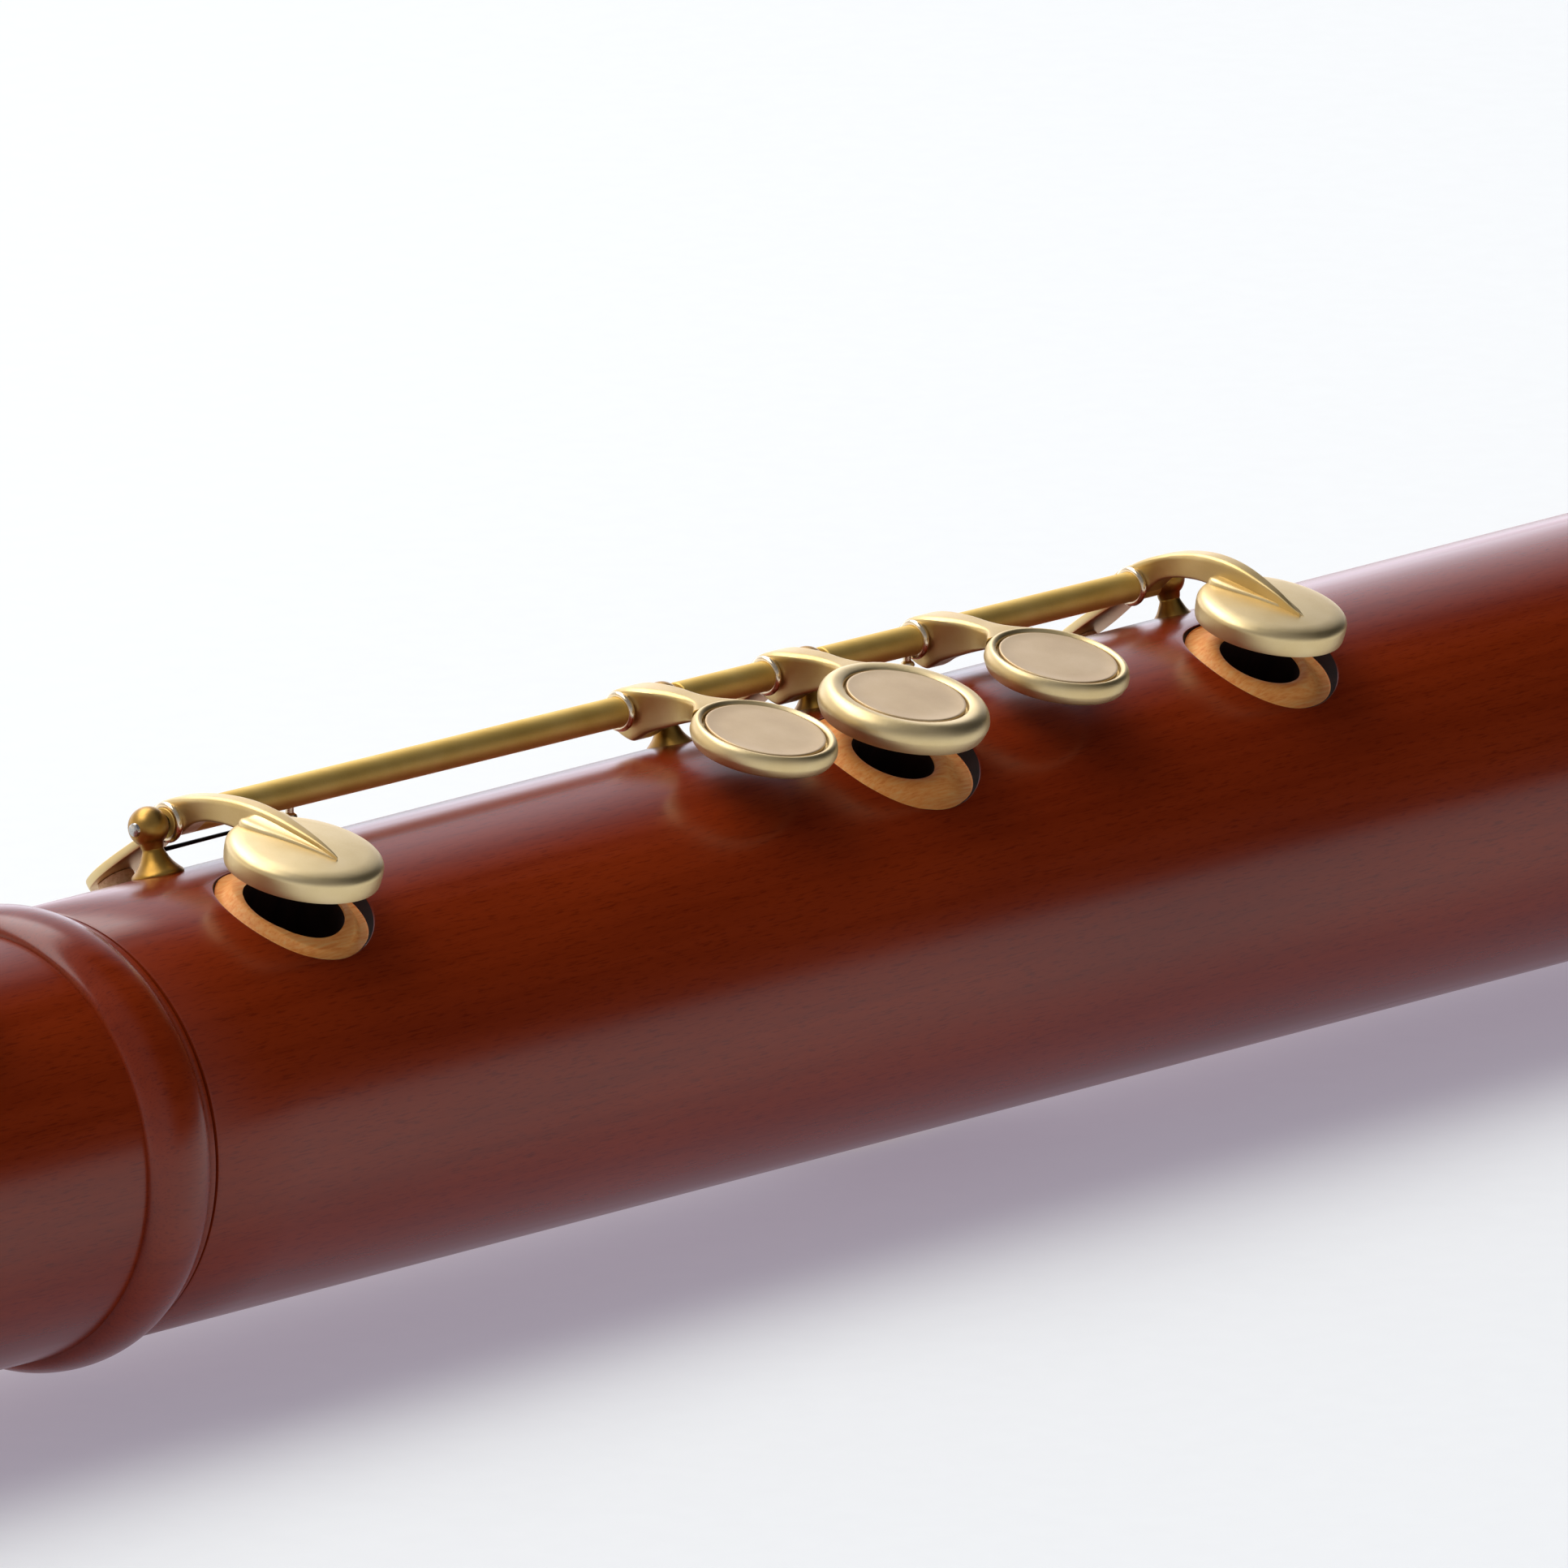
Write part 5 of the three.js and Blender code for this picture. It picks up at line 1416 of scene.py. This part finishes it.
def crook_path(beyond=0.0):
    """The crook's middle line: straight out of the cap, round the bend and straight on."""
    corner = X_AXIS * CROOK_CORNER_X
    arc = [corner + CROOK_BEND_RADIUS * np.array([math.sin(t), 1 - math.cos(t), 0.0])
           for t in np.linspace(0, CROOK_BEND, 49)]
    return [X_AXIS * (CROOK_START_X - beyond), *arc, arc[-1] + CROOK_HEADING * (CROOK_REACH + beyond)]


def crook():
    """The bent tube with its bore, and the grooved collar soldered on it."""
    outer = swept_bar("crook_swept", crook_path(), CROOK_RADIUS, "gold")
    bore = swept_bar("crook_bore", crook_path(beyond=4.0), CROOK_BORE, "bore")
    tube = carved("crook_tube", outer, [bore])
    loop = [(712.6, 4.1), (712.6, 6.3), (712.9, 6.6), (714.1, 6.6), (714.35, 6.2), (714.7, 6.2),
            (714.95, 6.6), (716.2, 6.6), (716.6, 6.2), (716.6, 4.1)]
    collar = turned_on_bore(loop, TURNED_SIDES).build("crook_collar", "gold")
    with bpy.context.temp_override(active_object=tube, selected_editable_objects=[tube, collar]):
        bpy.ops.object.join()
    finish_piece(tube, body_of("bocal"), ["bocal"])


def crook_cork():
    loop = [(695.0, 4.26), (695.0, 5.35), (695.3, 5.6), (710.8, 5.6), (711.0, 5.4), (711.0, 4.26)]
    piece = turned_on_bore(loop, 64).build("crook_cork_sleeve", "cork")
    finish_piece(piece, body_of("bocal_cork"), ["bocal_cork"])


def mouthpiece():
    """A turned mouthpiece on the end of the crook, flattened towards the lips."""
    start = crook_path()[-1] - CROOK_HEADING * MOUTHPIECE_SOCKET
    across = np.array([-CROOK_HEADING[1], CROOK_HEADING[0], 0.0])
    socket = 4.28
    profile = smooth_through([(0.0, 6.3), (0.5, 6.9), (3.2, 7.6), (9.0, 7.45), (16.0, 6.84), (24.0, 6.4),
                              (30.0, 6.2), (37.0, 6.15), (39.3, 5.9), (MOUTHPIECE_LENGTH, 5.27)], 48)
    loop = [(socket, 0.0), (6.1, 0.0)] + [(radius, max(height, 0.02)) for height, radius in profile[1:]]
    loop += [(4.0, MOUTHPIECE_LENGTH), (CROOK_BORE, MOUTHPIECE_LENGTH - 0.4),
             (CROOK_BORE, MOUTHPIECE_SOCKET + 0.3), (socket, MOUTHPIECE_SOCKET + 0.3)]

    def place(points):
        beyond = (points[:, 2] - MOUTHPIECE_SOCKET) / (MOUTHPIECE_LENGTH - MOUTHPIECE_SOCKET)
        flat = 1 - 0.3 * np.clip(beyond, 0, 1) ** 1.5
        lengthways = np.outer(points[:, 2], CROOK_HEADING) + np.outer(points[:, 0], across)
        return start + lengthways + np.outer(points[:, 1] * flat, (0.0, 0.0, 1.0))

    shape = Shape()
    shape.add_turned(loop, TURNED_SIDES, place)
    piece = shape.build("mouthpiece_turned", "wood")
    finish_piece(piece, body_of("mouthpiece"), ["mouthpiece"])


# Back of the instrument

THUMB_REST_X = 14.0
THUMB_PLATE_LENGTH = 34.0
THUMB_PLATE_WIDTH = 13.0
THUMB_PLATE_THICKNESS = 1.6
THUMB_PLATE_FOOT = body_radius(48.0) + 0.06
THUMB_LEDGE_ROUND = 3.0
SCREW_SPACING = 24.0
SLING_EYE_X = 158.0


def standing_on_back(x):
    """Puts a body turned about its own axis on the back, with its height counted from the bore."""
    out, across = directions(math.pi)
    return lambda points: (np.outer(points[:, 2], out) + np.outer(points[:, 1], across)
                           + np.outer(x + points[:, 0], X_AXIS))


def thumb_plate():
    """Rings of the oval plate that is bent round the body."""
    thick = THUMB_PLATE_THICKNESS
    # Shares of the plate's size with their heights: the underside, the eased edge and the top
    section = [(0.05, 0.0), (0.5, 0.0), (0.98, 0.0), (1.0, 0.12), (1.0, thick - 0.5), (0.985, thick - 0.2),
               (0.955, thick - 0.04), (0.91, thick), (0.6, thick), (0.3, thick), (0.05, thick)]
    rings = []
    for share, level in section:
        ring = []
        for turn in full_turn(96):
            side = THUMB_PLATE_WIDTH / 2 * share * math.sin(turn)
            x = THUMB_REST_X + THUMB_PLATE_LENGTH / 2 * share * math.cos(turn)
            out = directions(math.pi + side / THUMB_PLATE_FOOT)[0]
            ring.append(X_AXIS * x + out * (THUMB_PLATE_FOOT + level))
        rings.append(ring)
    return rings


def thumb_ledge():
    """Rings of the ledge, which narrows to a round crown that just meets the floor."""
    out, across = directions(math.pi)
    root = THUMB_PLATE_FOOT
    root_half, crown_half = 5.5, THUMB_LEDGE_ROUND
    crown = (BORE_ABOVE_FLOOR - THUMB_LEDGE_ROUND) / math.cos(HOLE_LEAN)
    heights = [root + 0.6, root + 1.0, crown - 0.6, crown]
    heights += [crown + THUMB_LEDGE_ROUND * math.sin(t) for t in np.linspace(0.15, 1.5, 12)]
    rings = []
    for height in heights:
        if height <= crown:
            share = (height - root - 0.8) / (crown - root - 0.8)
            half = root_half + (crown_half - root_half) * share
        else:
            half = math.sqrt(max(0.02, THUMB_LEDGE_ROUND ** 2 - (height - crown) ** 2))
        ring = []
        for turn in full_turn(40):
            # A power below one squares the section off.
            c, s = (math.copysign(abs(part) ** 0.35, part) for part in (math.cos(turn), math.sin(turn)))
            ring.append(X_AXIS * (THUMB_REST_X + 2.0 * c) + out * height + across * (half * s))
        rings.append(ring)
    return rings


def thumb_rest():
    shape = Shape()
    shape.add_skin(thumb_plate())
    shape.add_skin(thumb_ledge())
    piece = shape.build("thumb_rest_formed", "gold")
    finish_piece(piece, body_of("thumb_rest"), ["thumb_rest"])


def thumb_rest_screw(node, x):
    """A slotted screw with a low round head on the plate."""
    root = THUMB_PLATE_FOOT - 4.0
    under_head = THUMB_PLATE_FOOT + THUMB_PLATE_THICKNESS + 0.06
    shank, head = 1.4, 2.2
    loop = [(0.0, root), (shank - 0.2, root), (shank, root + 0.2), (shank, under_head),
            (head - 0.15, under_head), (head, under_head + 0.1)]
    for t in np.linspace(0.1, math.pi / 2, 9):
        loop.append((head * math.cos(t), under_head + 0.15 + 0.75 * math.sin(t)))
    shape = Shape()
    shape.add_turned(loop, 48, standing_on_back(x))
    slot_half, slot_floor, over = 0.28, under_head + 0.35, under_head + 3.0
    slot = slab([(x - slot_half, slot_floor), (x + slot_half, slot_floor),
                 (x + slot_half, over), (x - slot_half, over)], 3.0, math.pi)
    whole, cutter = shape.build(node + "_whole", "steel"), slot.build(node + "_slot", "steel")
    piece = carved(node + "_slotted", whole, [cutter])
    finish_piece(piece, body_of(node), [node])


def sling_eye():
    """A turned eye on a screwed foot, its ring lying along the bore and just clear of the floor."""
    foot = body_radius(SLING_EYE_X) + 0.06
    ring_radius, ring_half_height, ring_half_width = 1.75, 1.0, 0.65
    shape = Shape()
    loop = [(0.0, foot - 4.0), (1.15, foot - 4.0), (1.15, foot), (2.35, foot), (2.5, foot + 0.12),
            (2.5, foot + 0.35), (2.3, foot + 0.52), (1.6, foot + 0.55), (0.0, foot + 0.55)]
    shape.add_turned(loop, 48, standing_on_back(SLING_EYE_X))
    height = (BORE_ABOVE_FLOOR - ring_radius - ring_half_width - 0.3) / math.cos(HOLE_LEAN)
    centre = X_AXIS * SLING_EYE_X + directions(math.pi)[0] * height
    ring = [(ring_radius + ring_half_width * math.cos(t), ring_half_height * math.sin(t))
            for t in full_turn(20)]
    points, faces = revolved(ring, 48, lambda points: centre + points[:, [2, 0, 1]])
    # The ring doesn't sink into the wood.
    lift = np.maximum(1.0, (foot + 0.05) / np.hypot(points[:, 1], points[:, 2]))
    points[:, 1:] *= lift[:, None]
    shape.add(points, faces)
    piece = shape.build("sling_eye_turned", "gold")
    finish_piece(piece, body_of("sling_eye"), ["sling_eye"])


# Stage

FIBRE_DIMMING = 0.985
SOFTBOX_PLACE = (-0.45, 0.62, 1.45)
SOFTBOX_AIM = (-0.2, -0.05, 0.0)
SOFTBOX_SIZE = (2.6, 0.9)
SOFTBOX_COLOR = (1.0, 0.985, 0.97)
WALL_LEFT = (0.56, 0.52, 0.46, 1.0)
WALL_RIGHT = (0.84, 0.85, 0.96, 1.0)
ROOM_RIGHT = (0.004, 0.004, 0.005, 1.0)
ROOM_LEFT = (0.2, 0.2, 0.22, 1.0)
WALL_STRENGTH = 1.12
WALL_FOOT_STRENGTH = 1.5
PHOTO_SIDE_PIXELS = 1932
FOCAL_LENGTH_PIXELS = 24000
SENSOR_MM = 36.0
CAMERA_TURN = math.radians(47.956)
CAMERA_DIP = math.radians(13.08)
CAMERA_PLACE = (-1413.33, -1268.4, 456.1)


def aimed(made, direction):
    made.rotation_mode = "QUATERNION"
    made.rotation_quaternion = direction.to_track_quat("-Z", "Y")


def lay_floor(sizes):
    def paper(tree):
        # Matt white paper with a little glow painted into it, a painted light that lifts the shadows on it;
        # it is no lamp
        pale = [*sizes.floor_color, 1.0]
        return {
            "Base Color": ramp(tree, figure(tree, 4, 4), [(0.3, dimmed(pale, FIBRE_DIMMING)), (0.7, pale)]),
            "Roughness": 0.9,
            "Specular IOR Level": 0.1,
            "Emission Color": (*sizes.floor_painted_glow, 1.0),
            "Emission Strength": 1.0,
        }

    half = sizes.floor_size / 2
    mesh = bpy.data.meshes.new("floor")
    corners = [(-half, -half, 0), (half, -half, 0), (half, half, 0), (-half, half, 0)]
    mesh.from_pydata(corners, [], [(0, 1, 2, 3)])
    mesh.materials.append(finish_material("paper_floor_matt", paper))
    linked("floor", mesh)


def hang_softbox(sizes):
    light = bpy.data.lights.new("softbox", "AREA")
    light.shape = "RECTANGLE"
    light.size, light.size_y = SOFTBOX_SIZE
    light.energy = sizes.lamp_power
    light.color = SOFTBOX_COLOR
    lamp = linked("softbox", light)
    lamp.location = SOFTBOX_PLACE
    aimed(lamp, Vector(SOFTBOX_AIM) - lamp.location)


def light_studio(scene):
    """A bright wall behind on the right and a dim warm one behind on the left, brightest near the floor,
    with a pale fill in front on the left and a dark room in front on the right."""
    world = bpy.data.worlds.new("studio")
    world.use_nodes = True
    tree = world.node_tree
    tree.nodes.clear()
    place = add_node(tree, "ShaderNodeTexCoord")
    way = add_node(tree, "ShaderNodeSeparateXYZ", {"Vector": place.outputs["Generated"]}).outputs

    def share(axis, start, end):
        """How far a direction has gone from one value of an axis to another."""
        span = {"Value": way[axis], "From Min": start, "From Max": end}
        return add_node(tree, "ShaderNodeMapRange", span, interpolation_type="SMOOTHSTEP").outputs["Result"]

    behind = mixed(tree, share("X", -0.6, 0.1), WALL_LEFT, WALL_RIGHT)
    front = mixed(tree, share("X", 0.58, 0.2), ROOM_RIGHT, ROOM_LEFT)
    strength = add_node(tree, "ShaderNodeMath", {
        0: share("Z", 0.5, 0.05), 1: WALL_FOOT_STRENGTH, 2: WALL_STRENGTH}, operation="MULTIPLY_ADD")
    sky = add_node(tree, "ShaderNodeBackground", {
        "Color": mixed(tree, share("Y", 0.08, 0.58), front, behind), "Strength": strength.outputs[0]})
    add_node(tree, "ShaderNodeOutputWorld", {"Surface": sky.outputs["Background"]})
    scene.world = world
    scene.view_settings.view_transform = "Standard"


def set_camera(scene):
    """The photograph's view: a long lens, turned from the Y axis and dipped a little."""
    camera = bpy.data.cameras.new("camera")
    camera.sensor_width = SENSOR_MM
    camera.sensor_fit = "HORIZONTAL"
    camera.lens = FOCAL_LENGTH_PIXELS / PHOTO_SIDE_PIXELS * SENSOR_MM
    camera.clip_start, camera.clip_end = 0.05, 60.0
    eye = linked("camera", camera)
    eye.location = in_row_frame(CAMERA_PLACE)
    level = math.cos(CAMERA_DIP)
    aimed(eye, Vector((math.sin(CAMERA_TURN) * level, math.cos(CAMERA_TURN) * level, -math.sin(CAMERA_DIP))))
    scene.camera = eye


# Add-on

class RecorderSizes(bpy.types.PropertyGroup):
    sides: IntProperty(name="Sides", description="Faces round the turned wood", default=192, min=64, max=384)
    floor_size: FloatProperty(
        name="Floor size", description="Side of the pale floor",
        default=14.0, min=2.0, max=40.0, subtype="DISTANCE", unit="LENGTH")
    lamp_power: FloatProperty(
        name="Lamp power", description="Light of the overhead softbox", default=28.5, min=0.0, max=500.0)
    floor_color: FloatVectorProperty(
        name="Floor colour", description="Colour of the paper floor",
        default=(0.62, 0.67, 0.62), size=3, min=0.0, max=1.0, subtype="COLOR")
    # The floor's own glow is painted light: it lifts the shadows on the floor.
    floor_painted_glow: FloatVectorProperty(
        name="Floor painted glow", description="Glow painted into the paper floor, lifting its shadows",
        default=(0.26, 0.235, 0.295), size=3, min=0.0, max=1.0, subtype="COLOR")


class RECORDER_OT_centre(bpy.types.Operator):
    """Turn the middle joint with its tone holes"""
    bl_idname = "recorder.centre"
    bl_label = "Middle joint"

    def execute(self, context):
        centre_joint(context.scene.recorder_sizes.sides)
        return {"FINISHED"}


class RECORDER_OT_foot(bpy.types.Operator):
    """Turn the foot joint with its bead, waist and bell"""
    bl_idname = "recorder.foot"
    bl_label = "Foot joint"

    def execute(self, context):
        foot_joint(context.scene.recorder_sizes.sides)
        return {"FINISHED"}


class RECORDER_OT_head(bpy.types.Operator):
    """Turn the head with its window, the block, the cap and the tenon corks"""
    bl_idname = "recorder.head"
    bl_label = "Head"

    def execute(self, context):
        sides = context.scene.recorder_sizes.sides
        head_joint(sides)
        windway_block(sides)
        windway_cap(sides)
        tenon_cork("lower_tenon_cork", LOWER_TENON_X, FOOT_SEAM_X, LOWER_TENON_RADIUS)
        tenon_cork("upper_tenon_cork", HEAD_SEAM_X, UPPER_TENON_X, UPPER_TENON_RADIUS)
        return {"FINISHED"}


class RECORDER_OT_crook(bpy.types.Operator):
    """Bend the crook, with its collar, cork sleeve and mouthpiece"""
    bl_idname = "recorder.crook"
    bl_label = "Crook"

    def execute(self, context):
        crook()
        crook_cork()
        mouthpiece()
        return {"FINISHED"}


class RECORDER_OT_posts(bpy.types.Operator):
    """Set the ball-headed posts and the hinge rods"""
    bl_idname = "recorder.posts"
    bl_label = "Posts and rods"

    def execute(self, context):
        for name, station in STATIONS.items():
            posts(name + "_posts", station)
            rod(station)
        return {"FINISHED"}


class RECORDER_OT_keys(bpy.types.Operator):
    """Build the soldered keys with their inlays, pads, springs and stop corks"""
    bl_idname = "recorder.keys"
    bl_label = "Keys"

    def execute(self, context):
        for name, key in KEYS.items():
            station = STATIONS[key.station]
            soldered_key(name, key, station)
            inlay(name, key, station)
            pad(name, key, station)
            needle(name, station)
            stop_cork(name, key, station)
        return {"FINISHED"}


class RECORDER_OT_back(bpy.types.Operator):
    """Fit the thumb rest with its screws, and the sling eye"""
    bl_idname = "recorder.back"
    bl_label = "Thumb rest and sling eye"

    def execute(self, context):
        thumb_rest()
        thumb_rest_screw("thumb_rest_screw_1", THUMB_REST_X - SCREW_SPACING / 2)
        thumb_rest_screw("thumb_rest_screw_2", THUMB_REST_X + SCREW_SPACING / 2)
        sling_eye()
        return {"FINISHED"}


class RECORDER_OT_stage(bpy.types.Operator):
    """Set the floor, the softbox, the studio around it and the camera"""
    bl_idname = "recorder.stage"
    bl_label = "Stage"

    def execute(self, context):
        lay_floor(context.scene.recorder_sizes)
        hang_softbox(context.scene.recorder_sizes)
        light_studio(context.scene)
        set_camera(context.scene)
        return {"FINISHED"}


OPERATORS = [RECORDER_OT_centre, RECORDER_OT_foot, RECORDER_OT_head, RECORDER_OT_crook, RECORDER_OT_posts,
             RECORDER_OT_keys, RECORDER_OT_back, RECORDER_OT_stage]


class RECORDER_PT_panel(bpy.types.Panel):
    """Buttons for the pieces of the recorder"""
    bl_idname = "RECORDER_PT_panel"
    bl_label = "Bass recorder"
    bl_space_type = "VIEW_3D"
    bl_region_type = "UI"
    bl_category = "Recorder"

    def draw(self, context):
        for operator in OPERATORS:
            self.layout.operator(operator.bl_idname)
        for name in RecorderSizes.__annotations__:
            self.layout.prop(context.scene.recorder_sizes, name)


CLASSES = [RecorderSizes, *OPERATORS, RECORDER_PT_panel]


def register():
    for item in CLASSES:
        bpy.utils.register_class(item)
    bpy.types.Scene.recorder_sizes = PointerProperty(type=RecorderSizes)


def unregister():
    del bpy.types.Scene.recorder_sizes
    for item in reversed(CLASSES):
        bpy.utils.unregister_class(item)


def main():
    register()
    make_finishes()
    for operator in OPERATORS:
        group, call = operator.bl_idname.split(".")
        getattr(getattr(bpy.ops, group), call)()


if __name__ == "__main__":
    main()
